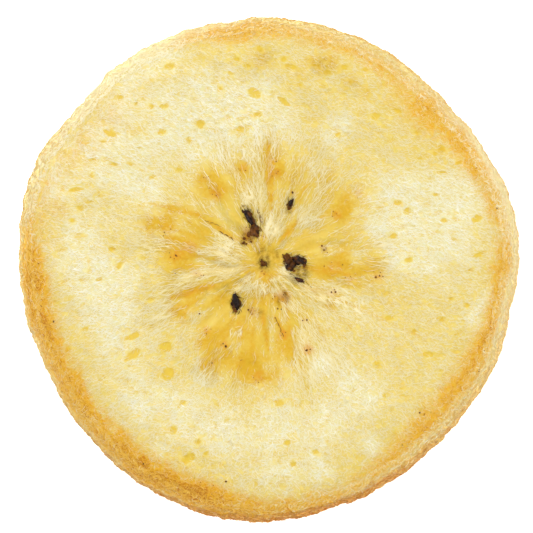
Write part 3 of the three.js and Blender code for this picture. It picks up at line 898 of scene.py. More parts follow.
def flesh_material():
    """Freeze-dried banana flesh: a stiff white foam of emptied cells, glassy and yellow where sugar set."""
    material, tree = new_material("freeze_dried_flesh")
    place = add_node(tree, "ShaderNodeTexCoord").outputs["Object"]
    # Emptied cells are 0.1 to 0.2 mm across; drawn a little coarser, at 0.22 mm, so that they show.
    foam = {"Vector": place, "Scale": 1 / (0.22 * MM), "Randomness": 1.0}
    cells = add_node(tree, "ShaderNodeTexVoronoi", foam, feature="F1")
    # Clumps of cells, about 0.6 mm across, hold more or less dried sugar.
    clumps = add_node(
        tree,
        "ShaderNodeTexNoise",
        {"Vector": place, "Scale": 1 / (0.6 * MM), "Detail": 5.0, "Roughness": 0.65, "Distortion": 0.6},
    )
    spread = add_node(
        tree,
        "ShaderNodeMapRange",
        {"Value": clumps.outputs["Fac"], "From Min": 0.35, "From Max": 0.68, "To Max": 0.6},
    )
    sugared = {0: spread.outputs["Result"], 6: tone("cream"), 7: tone("straw")}
    cream = add_node(tree, "ShaderNodeMix", sugared, data_type="RGBA")
    # Browning gathers in grains of about 0.2 mm.
    browning = {"Vector": place, "Scale": 1 / (0.2 * MM), "Detail": 2.0, "Roughness": 0.7}
    specks = add_node(tree, "ShaderNodeTexNoise", browning)
    grain = add_node(
        tree,
        "ShaderNodeMapRange",
        {"Value": specks.outputs["Fac"], "From Min": 0.3, "From Max": 0.7, "To Min": 0.5, "To Max": 1.5},
    )
    low_cells = add_node(
        tree,
        "ShaderNodeBump",
        {"Height": cells.outputs["Distance"], "Strength": 0.5, "Distance": 0.08 * MM},
        invert=True,
    )
    rough_clumps = add_node(
        tree,
        "ShaderNodeBump",
        {
            "Height": clumps.outputs["Fac"],
            "Strength": 0.6,
            "Distance": 0.15 * MM,
            "Normal": low_cells.outputs["Normal"],
        },
    )
    surface = add_node(
        tree,
        "ShaderNodeBsdfPrincipled",
        {
            "Base Color": tinted(tree, cream.outputs[2], FLESH_TINTS, grain.outputs["Result"]),
            "Normal": rough_clumps.outputs["Normal"],
            "Roughness": 0.62,
            "IOR": 1.45,
            "Specular IOR Level": 0.35,
            "Subsurface Weight": 0.7,
            "Subsurface Radius": (1.0, 0.85, 0.5),
            "Subsurface Scale": 0.2 * MM,
        },
    )
    add_node(tree, "ShaderNodeOutputMaterial", {"Surface": surface.outputs["BSDF"]})
    return material


def fibre_material(name, pale, deep):
    """Dried vascular fibre and torn cell walls: thin, dry and matt, so whiter than what they lie on."""
    material, tree = new_material(name)
    shade = add_node(tree, "ShaderNodeAttribute", attribute_name="shade").outputs["Fac"]
    base = add_node(tree, "ShaderNodeMix", {0: shade, 6: tone(pale), 7: tone(deep)}, data_type="RGBA")
    surface = add_node(
        tree,
        "ShaderNodeBsdfPrincipled",
        {
            "Base Color": tinted(tree, base.outputs[2], FIBRE_TINTS),
            "Roughness": 0.5,
            "IOR": 1.45,
            "Specular IOR Level": 0.4,
        },
    )
    add_node(tree, "ShaderNodeOutputMaterial", {"Surface": surface.outputs["BSDF"]})
    return material


def seed_material():
    """Shrivelled, undeveloped seed: a dark, waxy, wrinkled coat with a painted violet sheen on its high parts."""
    material, tree = new_material("shrivelled_seed_coat")
    place = add_node(tree, "ShaderNodeTexCoord").outputs["Object"]
    # Wrinkles are about 0.12 mm apart.
    wrinkles = add_node(
        tree,
        "ShaderNodeTexNoise",
        {"Vector": place, "Scale": 1 / (0.12 * MM), "Detail": 4.0, "Roughness": 0.6, "Distortion": 0.8},
    )
    # A lighter violet on the high parts of the wrinkles stands for the sheen on them: painted sheen.
    painted_sheen = add_node(
        tree, "ShaderNodeMapRange", {"Value": wrinkles.outputs["Fac"], "From Min": 0.5, "From Max": 0.72}
    )
    skin = {0: painted_sheen.outputs["Result"], 6: tone("seed"), 7: tone("painted_seed_sheen")}
    coat = add_node(tree, "ShaderNodeMix", skin, data_type="RGBA")
    bump = add_node(
        tree, "ShaderNodeBump", {"Height": wrinkles.outputs["Fac"], "Strength": 0.7, "Distance": 0.04 * MM}
    )
    surface = add_node(
        tree,
        "ShaderNodeBsdfPrincipled",
        {
            "Base Color": tinted(tree, coat.outputs[2], HUSK_TINTS),
            "Normal": bump.outputs["Normal"],
            "Roughness": 0.4,
            "IOR": 1.45,
            "Specular IOR Level": 0.18,
        },
    )
    add_node(tree, "ShaderNodeOutputMaterial", {"Surface": surface.outputs["BSDF"]})
    return material


def finished(bm, name):
    """The mesh that a bmesh has built up. The bmesh is done with."""
    mesh = bpy.data.meshes.new(name)
    bm.to_mesh(mesh)
    bm.free()
    return mesh


def disc_from_square(u, v):
    """Spreads a square from -1 to 1 evenly over a disc of radius 1: share of the radius, and bearing."""
    wide = np.abs(u) > np.abs(v)
    big = np.where(wide, u, v)
    small = np.where(wide, v, u)
    safe = np.where(np.abs(big) < 1e-9, 1, big)
    turn = small / safe * 45
    bearing = np.where(wide, turn, 90 - turn) + np.where(big < 0, 180, 0)
    return np.abs(big), bearing


def body_mesh(top_side=232, low_side=78, wall_rows=36):
    """The slice as one closed mesh: two square grids spread over the cut faces, with the wall between."""
    bm = bmesh.new()
    level = bm.verts.layers.float.new("level")
    top = bmesh.ops.create_grid(bm, x_segments=top_side, y_segments=top_side, size=1)["verts"]
    for vert in top:
        vert[level] = 1.0
    rim = [edge for edge in bm.edges if edge.is_boundary]
    for row in range(1, wall_rows):
        grown = bmesh.ops.extrude_edge_only(bm, edges=rim)["geom"]
        rim = [item for item in grown if isinstance(item, bmesh.types.BMEdge)]
        for item in grown:
            if isinstance(item, bmesh.types.BMVert):
                item[level] = 1 - row / wall_rows
    rim = [edge for edge in bm.edges if edge.is_boundary]
    low = bmesh.ops.create_grid(bm, x_segments=low_side, y_segments=low_side, size=1)["verts"]
    for vert in low:
        vert[level] = 0.0
        vert.co.z = -1
    low_faces = list({face for vert in low for face in vert.link_faces})
    bmesh.ops.reverse_faces(bm, faces=low_faces)
    low_rim = [edge for edge in {e for v in low for e in v.link_edges} if edge.is_boundary]
    bmesh.ops.bridge_loops(bm, edges=rim + low_rim)
    return finished(bm, "slice_body")


def shape_body(mesh):
    """Moves the pillbox's points to their places on the slice and gives them their tints."""
    face = face_map()
    shift_x, shift_y = outline_shift()
    count = len(mesh.vertices)
    co = get_places(mesh)
    level = np.empty(count, np.float32)
    mesh.attributes["level"].data.foreach_get("value", level)
    mesh.attributes.remove(mesh.attributes["level"])
    share, bearing = disc_from_square(co[:, 0], co[:, 1])
    edge = edge_radius(bearing)
    x = share * edge * np.cos(np.radians(bearing))
    y = share * edge * np.sin(np.radians(bearing))
    lower = np.stack([x, y, np.zeros(count)], axis=-1)
    pitted = 0.05 * np.minimum(0, noise(lower, 0.9, 51)) + 0.05 * np.minimum(0, noise(lower, 0.45, 52))
    on_top, on_low = level > 0.999, level < 0.001
    height = np.where(on_top, face.read("height", x - shift_x, y - shift_y), lower_height(x, y) - pitted)
    places = np.stack([x - shift_x, y - shift_y, height], axis=-1)
    wall = ~(on_top | on_low)
    places[wall] = wall_place(bearing[wall], level[wall].astype(float))
    set_places(mesh, metres(places))
    reach = np.hypot(x, y)
    browned = smoothstep(reach, 10.5, 14.5) * (0.35 + 0.3 * noise(lower, 1.5, 53))
    below = {
        "gel": 0.75 * (1 - smoothstep(reach, 5.5, 8.0)),
        "toast": np.clip(0.7 * browned + 0.1, 0, 1),
        "skin": smoothstep(reach, 12.8, 14.6) * (0.9 + 0.8 * noise(lower, 1.2, 54)),
    }
    on_wall = wall_tints(bearing, level.astype(float))
    for name in TINTS:
        tint = face.read(name, x - shift_x, y - shift_y)
        tint = np.where(on_low, below.get(name, 0.0), tint)
        tint = np.where(wall, on_wall[name], tint)
        set_tint(mesh, name, tint)


@lru_cache
def strand_shape(stations):
    """One strand to copy: three-sided and flat on top, with a ring at z = 1, 2 and so on and a point at each end."""
    bm = bmesh.new()
    bmesh.ops.create_circle(bm, segments=3, radius=1, cap_ends=False)
    lowest = min(bm.verts, key=lambda vert: vert.co.y)
    flip = math.atan2(-1, 0) - math.atan2(lowest.co.y, lowest.co.x)
    bmesh.ops.rotate(bm, verts=bm.verts[:], cent=(0, 0, 0), matrix=Matrix.Rotation(flip, 3, "Z"))
    bmesh.ops.translate(bm, verts=bm.verts[:], vec=(0, 0, 1))
    first = last = bm.edges[:]
    for height in range(2, stations - 1):
        grown = bmesh.ops.extrude_edge_only(bm, edges=last)["geom"]
        bmesh.ops.translate(bm, verts=[v for v in grown if isinstance(v, bmesh.types.BMVert)], vec=(0, 0, 1))
        last = [item for item in grown if isinstance(item, bmesh.types.BMEdge)]
        last = [edge for edge in last if all(vert.co.z > height - 0.5 for vert in edge.verts)]
    for ring, height in ((first, 0), (last, stations - 1)):
        grown = bmesh.ops.extrude_edge_only(bm, edges=ring)["geom"]
        tip = [item for item in grown if isinstance(item, bmesh.types.BMVert)]
        bmesh.ops.pointmerge(bm, verts=tip, merge_co=(0, 0, height))
    bmesh.ops.recalc_face_normals(bm, faces=bm.faces[:])
    return finished(bm, "one_strand")


def strand_mesh(name, line, outward, width, tints):
    """Copies the strand along many short lines, of which line and outward hold each station's place and side."""
    stations = line.shape[1]
    one = strand_shape(stations)
    radius = width[:, None] * inner(stations, 0.0) / 2
    bm = bmesh.new()
    for _ in range(len(line)):
        bm.from_mesh(one)
    mesh = finished(bm, name)
    points = get_places(one)
    station = np.rint(points[:, 2]).astype(int)
    along = np.gradient(line, axis=1)
    along /= np.linalg.norm(along, axis=-1, keepdims=True)
    side = np.cross(outward, along)
    side /= np.linalg.norm(side, axis=-1, keepdims=True)
    over = np.cross(along, side)
    round_it = points[:, 0, None] * side[:, station] + points[:, 1, None] * over[:, station]
    set_places(mesh, metres(line[:, station] + radius[:, station, None] * round_it))
    for tint, values in tints.items():
        values = np.broadcast_to(values if np.ndim(values) == 2 else values[:, None], line.shape[:2])
        set_tint(mesh, tint, values[:, station])
    return mesh


def curl(start, heading, length, bend, rng, stations=4):
    """Lines that start at a place on a heading and bend steadily: their places at each station."""
    steps = np.arange(stations - 1)
    wobble = rng.normal(0, 0.25, (len(length), stations - 1))
    turn = heading[:, None] + bend[:, None] * (steps / (stations - 2) - 0.5) + wobble
    step = np.stack([np.cos(turn), np.sin(turn)], axis=-1) * (length / (stations - 1))[:, None, None]
    path = np.concatenate([np.zeros((len(length), 1, 2)), np.cumsum(step, axis=1)], axis=1)
    return start[:, None, :] + path - path.mean(axis=1, keepdims=True)


def inner(stations, end):
    """One value for each station: 1 along the strand, and another at its two ends."""
    values = np.ones(stations)
    values[[0, -1]] = end
    return values


def face_strands(name, start, heading, length, width, bend, lift, rng, stations=4):
    """Strands that arch a little off the upper face, and mostly leave open pores and windows of gel free."""
    face = face_map()
    path = curl(start, heading, length, bend, rng, stations)
    x, y = path[..., 0], path[..., 1]
    open_over = rng.uniform(0.2, 1.1, len(x))
    keep = face.read("clear", x, y).max(axis=1) < open_over
    keep = keep & (face.read("inward", x, y).min(axis=1) > WALL_BULGE)
    x, y, width, lift = x[keep], y[keep], width[keep], lift[keep]
    z = face.read("height", x, y) + lift[:, None] * inner(stations, -0.5)
    normal = np.stack([-face.read("slope_x", x, y), -face.read("slope_y", x, y), np.ones_like(x)], axis=-1)
    tints = {tint: face.read(tint, x, y) for tint in TINTS}
    # Some strands stay clean and white where others have soaked up sugar, and some are toasted more.
    soaked = rng.uniform(0.0, 1.4, (len(x), 1))
    tints["gel"], tints["gold"] = tints["gel"] * soaked, tints["gold"] * soaked
    tints["toast"] = tints["toast"] * rng.uniform(0.3, 1.5, (len(x), 1))
    tints["shade"] = rng.random(len(x)) ** 1.5
    return strand_mesh(name, np.stack([x, y, z], axis=-1), normal, width, tints)


def disc_places(count, reach, rng):
    spread, turn = reach * np.sqrt(rng.random(count)), rng.uniform(0, 2 * math.pi, count)
    return np.stack([spread * np.cos(turn), spread * np.sin(turn)], axis=-1)


def thinned_places(count, spare, reach, less, thin, rng):
    """Places strewn over the face, rarer where tints are strong: spare places are tried for each one wanted.

    The tints in less take their shares off together, and each tint in thin takes its share off what is left.
    """
    face = face_map()
    places = disc_places(spare * count, reach, rng)
    x, y = places[:, 0], places[:, 1]
    want = 1 - sum(share * face.read(tint, x, y) for tint, share in less.items())
    for tint, share in thin.items():
        want = want * (1 - share * face.read(tint, x, y))
    return places[rng.random(len(x)) < np.clip(want, LEAST_KEPT, 1)][:count]


def fibre_headings(places, rng):
    """Fibres fan out of the core. Farther out they slant down to the right, or up to it at the lower left."""
    x, y = places[:, 0], places[:, 1]
    middle = spot(*PHOTO_CORE)
    outward = np.arctan2(y - middle[1], x - middle[0])
    reach = np.hypot(x, y)
    slant = FELT_SLANT + 36 * near(np.degrees(outward), *RISING_FELT)
    stray = FELT_STRAY + 30 * near(np.degrees(outward), *LOOSE_FELT)
    slanting = np.radians(slant + stray * rng.normal(0, 1, len(x)))
    fanning = outward + np.radians(9 + 2 * reach) * rng.normal(0, 1, len(x))
    heading = np.where(rng.random(len(x)) < smoothstep(reach, 5.5, 10.5), slanting, fanning)
    at_rim = 1 - smoothstep(face_map().read("inward", x, y), 0.9, 2.2)
    along_rim = rng.random(len(x)) < at_rim
    return np.where(along_rim, outward + math.pi / 2 + rng.normal(0, 0.55, len(x)), heading)


def length_property(name, description, default, least, most):
    return bpy.props.FloatProperty(
        name=name, description=description, default=default * MM, min=least * MM, max=most * MM, unit="LENGTH"
    )


def count_property(name, description, default, most, least=100):
    return bpy.props.IntProperty(name=name, description=description, default=default, min=least, max=most)


class SliceSizes(bpy.types.PropertyGroup):
    """Sizes and amounts that a user may change. The most strands keep each mesh under 200,000 triangles."""

    diameter: length_property("Diameter", "Mean width of the slice", DIAMETER, 20, 50)
    fibre_width: length_property("Fibre width", "Width of a felt fibre", 0.048, 0.02, 0.3)
    small_pores: count_property("Small pores", "Small pores strewn over the upper face", 2200, 4000, 0)
    felt_strands: count_property("Felt strands", "Fibres that lie on the upper face", 16500, 16500)
    lint_strands: count_property("Lint strands", "Fine scraps of torn cell wall on the face", 33000, 33000)
    core_strands: count_property("Core strands", "Silky fibres that fan out of the core", 6000, 16500)
    rim_strands: count_property("Rim strands", "Fibres that run along the rim and over its edge", 7000, 16500)
    crust_strands: count_property("Crust strands", "Short fibres on the toasted wall", 20000, 33000)


def colour_property(name, description, code):
    return bpy.props.FloatVectorProperty(
        name=name, description=description, default=linear(code), size=4, min=0, max=1, subtype="COLOR"
    )


class SliceColours(bpy.types.PropertyGroup):
    """Colours of the flesh, its crust and its seeds."""

    cream: colour_property("Cream", "Dry white foam", "#EDE5B2")
    straw: colour_property("Straw", "Foam with a little sugar", "#E8D16E")
    pore_floor: colour_property("Pore floor", "Floor of an open pore", "#E2C23C")
    gel: colour_property("Gel", "Clear yellow flesh of the core", "#DFBF48")
    gold: colour_property("Gold", "Dense golden patches", "#DAAE20")
    amber: colour_property("Amber", "Stains in the golden patches", "#DE9820")
    # Also the white of the painted highlight at the top left of the wall.
    down: colour_property("Down", "Fluffy tufts of the core", "#FBF2CC")
    skin: colour_property("Skin", "Tan outside of the wall", "#E0B45A")
    golden_crust: colour_property("Golden crust", "Lightly toasted shoulder", "#E7B11A")
    golden_fibre: colour_property("Golden fibre", "Fibres on the lightly toasted shoulder", "#F0BE30")
    brown_crust: colour_property("Brown crust", "Toasted shoulder and wall", "#CC8614")
    burnt_crust: colour_property("Burnt crust", "Darkest toasted marks", "#BC6C18")
    # The olive brown of the painted shade round the seeds, in the crown and under the top rim.
    smudge: colour_property("Smudge", "Olive brown round the seeds", "#7A5A0A")
    fibre: colour_property("Fibre", "White fibres", "#FAF9EC")
    fibre_deep: colour_property("Deeper fibre", "Fibres with a little sugar", "#F5ECC0")
    silk: colour_property("Silk", "Yellow fibres of the core", "#F0E0A0")
    crust_fuzz: colour_property("Crust fuzz", "Pale fuzz on the toasted wall", "#EED69A")
    seed: colour_property("Seed", "Dark seed coat", "#170B08")
    # The violet of the painted sheen on the high parts of the seed coat.
    painted_seed_sheen: colour_property("Seed bloom", "Violet bloom on the seed coat", "#51403F")
    husk: colour_property("Husk", "Brown husk of a seed", "#744512")
    speck: colour_property("Speck", "Browned specks in the flesh", "#B0701E")
    thread: colour_property("Thread", "Browned threads of the core", "#7E4A14")


class SLICE_OT_body(bpy.types.Operator):
    """Build the body of the slice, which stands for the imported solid"""

    bl_idname = "slice.body"
    bl_label = "Slice Body"

    def execute(self, context):
        # The pores may have been changed since the face was last worked out.
        face_map.cache_clear()
        mesh = body_mesh()
        shape_body(mesh)
        piece = add_piece(mesh, flesh_material(), "flesh")
        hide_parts(NODE)
        return {"FINISHED"}


class SLICE_OT_felt(bpy.types.Operator):
    """Lay the felt of white fibres on the upper face"""

    bl_idname = "slice.felt"
    bl_label = "Felt Fibres"

    def execute(self, context):
        sizes = context.scene.slice_sizes
        rng = np.random.default_rng(RANDOM_SEEDS["felt"])
        less, thin = {"gel": 0.85, "gold": 0.9, "tuft": 0.6}, {"smudge": 0.9, "straw": 0.35}
        places = thinned_places(sizes.felt_strands, 3, FELT_REACH, less, thin, rng)
        count = len(places)
        crisp = face_map().read("toast", places[:, 0], places[:, 1])
        length = rng.uniform(*FELT.lengths, count) * (1 - 0.4 * np.clip(crisp, 0, 1))
        width = sizes.fibre_width / MM * rng.uniform(*FELT.widths, count)
        bend = rng.normal(0, FELT.bend, count)
        lift = rng.uniform(*FELT.lifts, count)
        heading = fibre_headings(places, rng)
        mesh = face_strands("felt_fibres", places, heading, length, width, bend, lift, rng)
        add_piece(mesh, fibre_material("dried_fibre_felt", "fibre", "fibre_deep"), "fibre")
        return {"FINISHED"}


class SLICE_OT_lint(bpy.types.Operator):
    """Lay the fine scraps of torn cell wall between the felt fibres"""

    bl_idname = "slice.lint"
    bl_label = "Lint"

    def execute(self, context):
        sizes = context.scene.slice_sizes
        rng = np.random.default_rng(RANDOM_SEEDS["lint"])
        less, thin = {"gel": 0.8, "gold": 0.8}, {"smudge": 1}
        places = thinned_places(sizes.lint_strands, 2, LINT_REACH, less, thin, rng)
        count = len(places)
        length = rng.uniform(*LINT.lengths, count)
        width = sizes.fibre_width / MM * rng.uniform(*LINT.widths, count)
        heading = fibre_headings(places, rng) + rng.normal(0, 0.3, count)
        bend = rng.normal(0, LINT.bend, count)
        lift = rng.uniform(*LINT.lifts, count)
        mesh = face_strands("lint_scraps", places, heading, length, width, bend, lift, rng, stations=3)
        add_piece(mesh, fibre_material("torn_cell_wall", "fibre", "fibre_deep"), "fibre")
        return {"FINISHED"}


class SLICE_OT_core(bpy.types.Operator):
    """Lay the silky fibres that fan out of the core"""

    bl_idname = "slice.core"
    bl_label = "Core Fibres"

    def execute(self, context):
        sizes = context.scene.slice_sizes
        rng = np.random.default_rng(RANDOM_SEEDS["core"])
        face = face_map()
        count = sizes.core_strands
        # Nine places are tried for each strand, and the strands keep to the streaks and the tufts.
        tried = 9 * count
        turn = rng.uniform(0, 2 * math.pi, tried)
        reach = 0.9 + 7.6 * rng.random(tried) ** 0.8
        places = np.array(spot(*PHOTO_CORE)) + np.stack([reach * np.cos(turn), reach * np.sin(turn)], axis=-1)
        x, y = places[:, 0], places[:, 1]
        tuft, streaky = face.read("tuft", x, y), smoothstep(face.read("streak", x, y), 0.0, 0.5)
        want = 0.05 + 0.5 * streaky + 0.5 * tuft - 0.25 * face.read("gold", x, y)
        want = want * (1 - face.read("smudge", x, y)) * (1 - 0.5 * smoothstep(reach, 4.0, 7.0))
        chosen = np.flatnonzero(rng.random(tried) < want)[:count]
        places, turn, reach, tuft = places[chosen], turn[chosen], reach[chosen], tuft[chosen]
        count = len(places)
        # In the tufts they are short, thick and tangled.
        length = rng.uniform(*CORE.lengths, count) * (0.6 + 0.08 * reach) * (1 - 0.65 * tuft)
        width = sizes.fibre_width / MM * rng.uniform(*CORE.widths, count) * (1 + 0.8 * tuft)
        heading = turn + rng.normal(0, 1, count) * (0.12 + 0.7 * tuft)
        bend = rng.normal(0, 1, count) * (CORE.bend + 1.2 * tuft)
        lift = rng.uniform(*CORE.lifts, count)
        mesh = face_strands("core_fibres", places, heading, length, width, bend, lift, rng)
        add_piece(mesh, fibre_material("silky_core_fibre", "fibre", "silk"), "fibre")
        return {"FINISHED"}


class SLICE_OT_rim(bpy.types.Operator):
    """Lay the pale fibres that run along the rim and over its edge"""

    bl_idname = "slice.rim"
    bl_label = "Rim Fibres"

    def execute(self, context):
        sizes = context.scene.slice_sizes
        rng = np.random.default_rng(RANDOM_SEEDS["rim"])
        count = sizes.rim_strands
        # They thin out down the wall and in over the face.
        across = 0.25 - 1.6 * rng.random(count) * rng.random(count)
        start = np.stack([rng.uniform(0, RIM_RADIUS * 2 * math.pi, count), across], axis=-1)
        length = rng.uniform(*RIM.lengths, count)
        path = curl(start, rng.normal(0, 0.8, count), length, rng.normal(0, RIM.bend, count), rng)
        bearing, across = np.degrees(path[..., 0] / RIM_RADIUS), path[..., 1]
        lift = rng.uniform(*RIM.lifts, count)
        line, outward = rim_place(bearing, across, lift[:, None] * inner(4, -0.5))
        width = sizes.fibre_width / MM * rng.uniform(*RIM.widths, count)
        tints = wall_tints(bearing, np.clip(1 + across / WALL_HEIGHT, 0, 1))
        browned = np.where(across > 0, toast(bearing, WALL_BULGE + across), tints["toast"])
        tints["toast"] = browned * rng.uniform(0.25, 1.4, (count, 1))
        tints["shade"] = rng.random(count)
        mesh = strand_mesh("rim_fibres", line, outward, width, tints)
        add_piece(mesh, fibre_material("pale_rim_fibre", "fibre", "silk"), "fibre")
        return {"FINISHED"}


class SLICE_OT_crust(bpy.types.Operator):
    """Lay the short, toasted fibres on the wall"""

    bl_idname = "slice.crust"
    bl_label = "Crust Fibres"

    def execute(self, context):
        sizes = context.scene.slice_sizes
        rng = np.random.default_rng(RANDOM_SEEDS["crust"])
        count = sizes.crust_strands
        around = rng.uniform(0, WALL_RADIUS * 2 * math.pi, count)
        start = np.stack([around, rng.uniform(0.1, 5.4, count)], axis=-1)
        length = rng.uniform(*CRUST.lengths, count)
        path = curl(start, rng.normal(0, 0.8, count), length, rng.normal(0, CRUST.bend, count), rng, 3)
        bearing = np.degrees(path[..., 0] / WALL_RADIUS)
        up = np.clip(path[..., 1] / WALL_HEIGHT, 0.02, 0.99)
        lift = rng.uniform(*CRUST.lifts, count)
        line = wall_place(bearing, up, lift[:, None] * inner(3, -0.5))
        t = np.radians(bearing)
        outward = np.stack([np.cos(t), np.sin(t), 0.7 * (2 * up - 1)], axis=-1)
        width = sizes.fibre_width / MM * rng.uniform(*CRUST.widths, count)
        tints = wall_tints(bearing, up)
        tints["toast"] = tints["toast"] * rng.uniform(0.1, 1.4, (count, 1))
        tints["skin"] = tints["skin"] * rng.uniform(0.6, 1.3, (count, 1))
        tints["shade"] = rng.random(count)
        mesh = strand_mesh("crust_fibres", line, outward, width, tints)
        add_piece(mesh, fibre_material("toasted_skin_fibre", "crust_fuzz", "skin"), "fibre")
        return {"FINISHED"}


def add_lump(bm, rng, x, y, length, width, bearing, husk, wrinkle, sink, fine):
    """Adds one shrivelled seed to a mesh, half sunk in the flesh, with its long axis on a bearing."""
    husk_layer = bm.verts.layers.float["husk"]
    height = face_map().read("height", np.array([x]), np.array([y]))[0]
    made = bmesh.ops.create_icosphere(bm, subdivisions=fine, radius=0.5)["verts"]
    points = np.array([vert.co for vert in made])
    shift = rng.uniform(0, 20, 3)
    blotches, flecks = np.maximum(0, noise(points + shift, 0.35, 63)), noise(points + shift, 0.15, 64)
    husks = np.clip(husk + 0.9 * blotches + 0.9 * husk * flecks, 0, max(1.2, husk))
    dents = 1 + wrinkle * layered_noise(points + shift, SEED_DENTS)
    narrow = 1 - 0.35 * smoothstep(points[:, 0], 0.0, 0.5)
    points = points * dents[:, None]
    points[:, 1:] *= narrow[:, None]
    points[:, 2] *= 1 - 0.2 * bell(points[:, 1], 0.07) * (points[:, 2] > 0)
    points = points * np.array([length, width, width])
    spin = Matrix.Rotation(math.radians(bearing), 4, "Z")
    place = Matrix.Translation((x, y, height + width * (0.5 - sink))) @ spin
    for vert, point, brown in zip(made, points, husks):
        vert.co = place @ Vector(point)
        vert[husk_layer] = brown


def speck_places(rng):
    """Three specks in each amber stain, and many where the shoulder is toasted most."""
    for px, py, reach, _ in AMBER_STAINS:
        for _ in range(3):
            turn, out = rng.uniform(0, 2 * math.pi), 1.3 * reach * rng.random()
            yield spot(px + out * math.cos(turn), py + out * math.sin(turn))
    places = disc_places(6000, STREWN_REACH, rng)
    browned = face_map().read("toast", places[:, 0], places[:, 1])
    yield from places[rng.random(len(places)) < 0.04 * smoothstep(browned, 0.35, 1.0)]


class SLICE_OT_seeds(bpy.types.Operator):
    """Set the shrivelled seeds and dark grains in the core"""

    bl_idname = "slice.seeds"
    bl_label = "Seeds"

    def execute(self, context):
        rng = np.random.default_rng(RANDOM_SEEDS["seeds"])
        material = seed_material()
        for name, lumps in (("seeds", self.seeds(rng)), ("dark_grains", self.grains(rng))):
            bm = bmesh.new()
            bm.verts.layers.float.new("husk")
            for lump in lumps:
                add_lump(bm, rng, *lump)
            mesh = finished(bm, name)
            set_places(mesh, metres(get_places(mesh)))
            add_piece(mesh, material, "seed")
        return {"FINISHED"}

    @staticmethod
    def seeds(rng):
        """Each seed and the scraps of brown husk that cling round it, as the last values of add_lump."""
        for px, py, length, width, bearing, dark in SEEDS:
            x, y = spot(px, py)
            long, wide = length * PIXEL, width * PIXEL
            yield x, y, 1.1 * long, 1.15 * wide, bearing, 1 - dark, 0.4, 0.4, 4
            for turn in rng.uniform(0, 2 * math.pi, 5):
                right, up = turned(0.5 * long * math.cos(turn), 0.5 * wide * math.sin(turn), bearing)
                size = rng.uniform(0.22, 0.42) * wide
                lie, husk = bearing + rng.normal(0, 30), rng.uniform(0.3, 1.0)
                yield x + right, y + up, 1.6 * size, size, lie, husk, 0.4, 0.3, 2

    @staticmethod
    def grains(rng):
        """The dark grains, then tiny brown specks, as the last values of add_lump."""
        for px, py, size in GRAINS:
            turn, husk = rng.uniform(0, 180), rng.uniform(0.5, 1.3)
            yield *spot(px, py), 1.15 * size * PIXEL, 0.9 * size * PIXEL, turn, husk, 0.3, 0.3, 3
        for x, y in speck_places(rng):
            size = rng.uniform(0.04, 0.08)
            yield x, y, 1.3 * size, size, rng.uniform(0, 180), 2.0, 0.2, 0.35, 2


class SLICE_OT_threads(bpy.types.Operator):
    """Lay the dark threads round the seeds and through the core"""

    bl_idname = "slice.threads"
    bl_label = "Dark Threads"

    def execute(self, context):
        rng = np.random.default_rng(RANDOM_SEEDS["threads"])
        threads = np.array([*self.round_seeds(rng), *self.through_core(rng)])
        heading, length, width, shade = threads[:, 2:].T
        count = len(threads)
        path = curl(threads[:, :2], heading, length, rng.normal(0, 0.4, count), rng)
        x, y = path[..., 0], path[..., 1]
        z = face_map().read("height", x, y) + 0.03 + 0.02 * inner(4, -0.5)
        outward = np.broadcast_to((0.0, 0.0, 1.0), path.shape[:2] + (3,))
        tints = {tint: np.zeros(count) for tint in TINTS} | {"shade": shade}
        mesh = strand_mesh("dark_threads", np.stack([x, y, z], axis=-1), outward, width, tints)
        add_piece(mesh, fibre_material("dark_core_thread", "thread", "seed"), "seed")
        return {"FINISHED"}

    @staticmethod
    def round_seeds(rng):
        """Short threads that stick out round the seeds: x, y, heading, length, width and shade."""
        for px, py, long, wide, bearing, _ in SEEDS:
            x, y = spot(px, py)
            for shade in rng.random(14):
                turn, out = rng.uniform(0, 2 * math.pi), PIXEL * rng.uniform(0.45, 0.75)
                right, up = turned(math.cos(turn) * long * out, math.sin(turn) * wide * out, bearing)
                heading = math.radians(bearing) + rng.normal(0, 0.5)
                yield x + right, y + up, heading, rng.uniform(0.15, 0.45), rng.uniform(0.02, 0.05), shade

    @staticmethod
    def through_core(rng):
        """The long threads of the core, in pieces that overlap a little, as round_seeds gives its own."""
        for start, end, wide in DARK_THREADS:
            (x0, y0), (x1, y1) = spot(*start), spot(*end)
            pieces = max(1, round(math.hypot(x1 - x0, y1 - y0) / 0.35))
            for i in range(pieces):
                share = (i + 0.5) / pieces
                x, y = x0 + (x1 - x0) * share, y0 + (y1 - y0) * share
                heading = math.atan2(y1 - y0, x1 - x0) + rng.normal(0, 0.12)
                yield x, y, heading, 0.42, 0.8 * wide * PIXEL, 0.2 * rng.random()


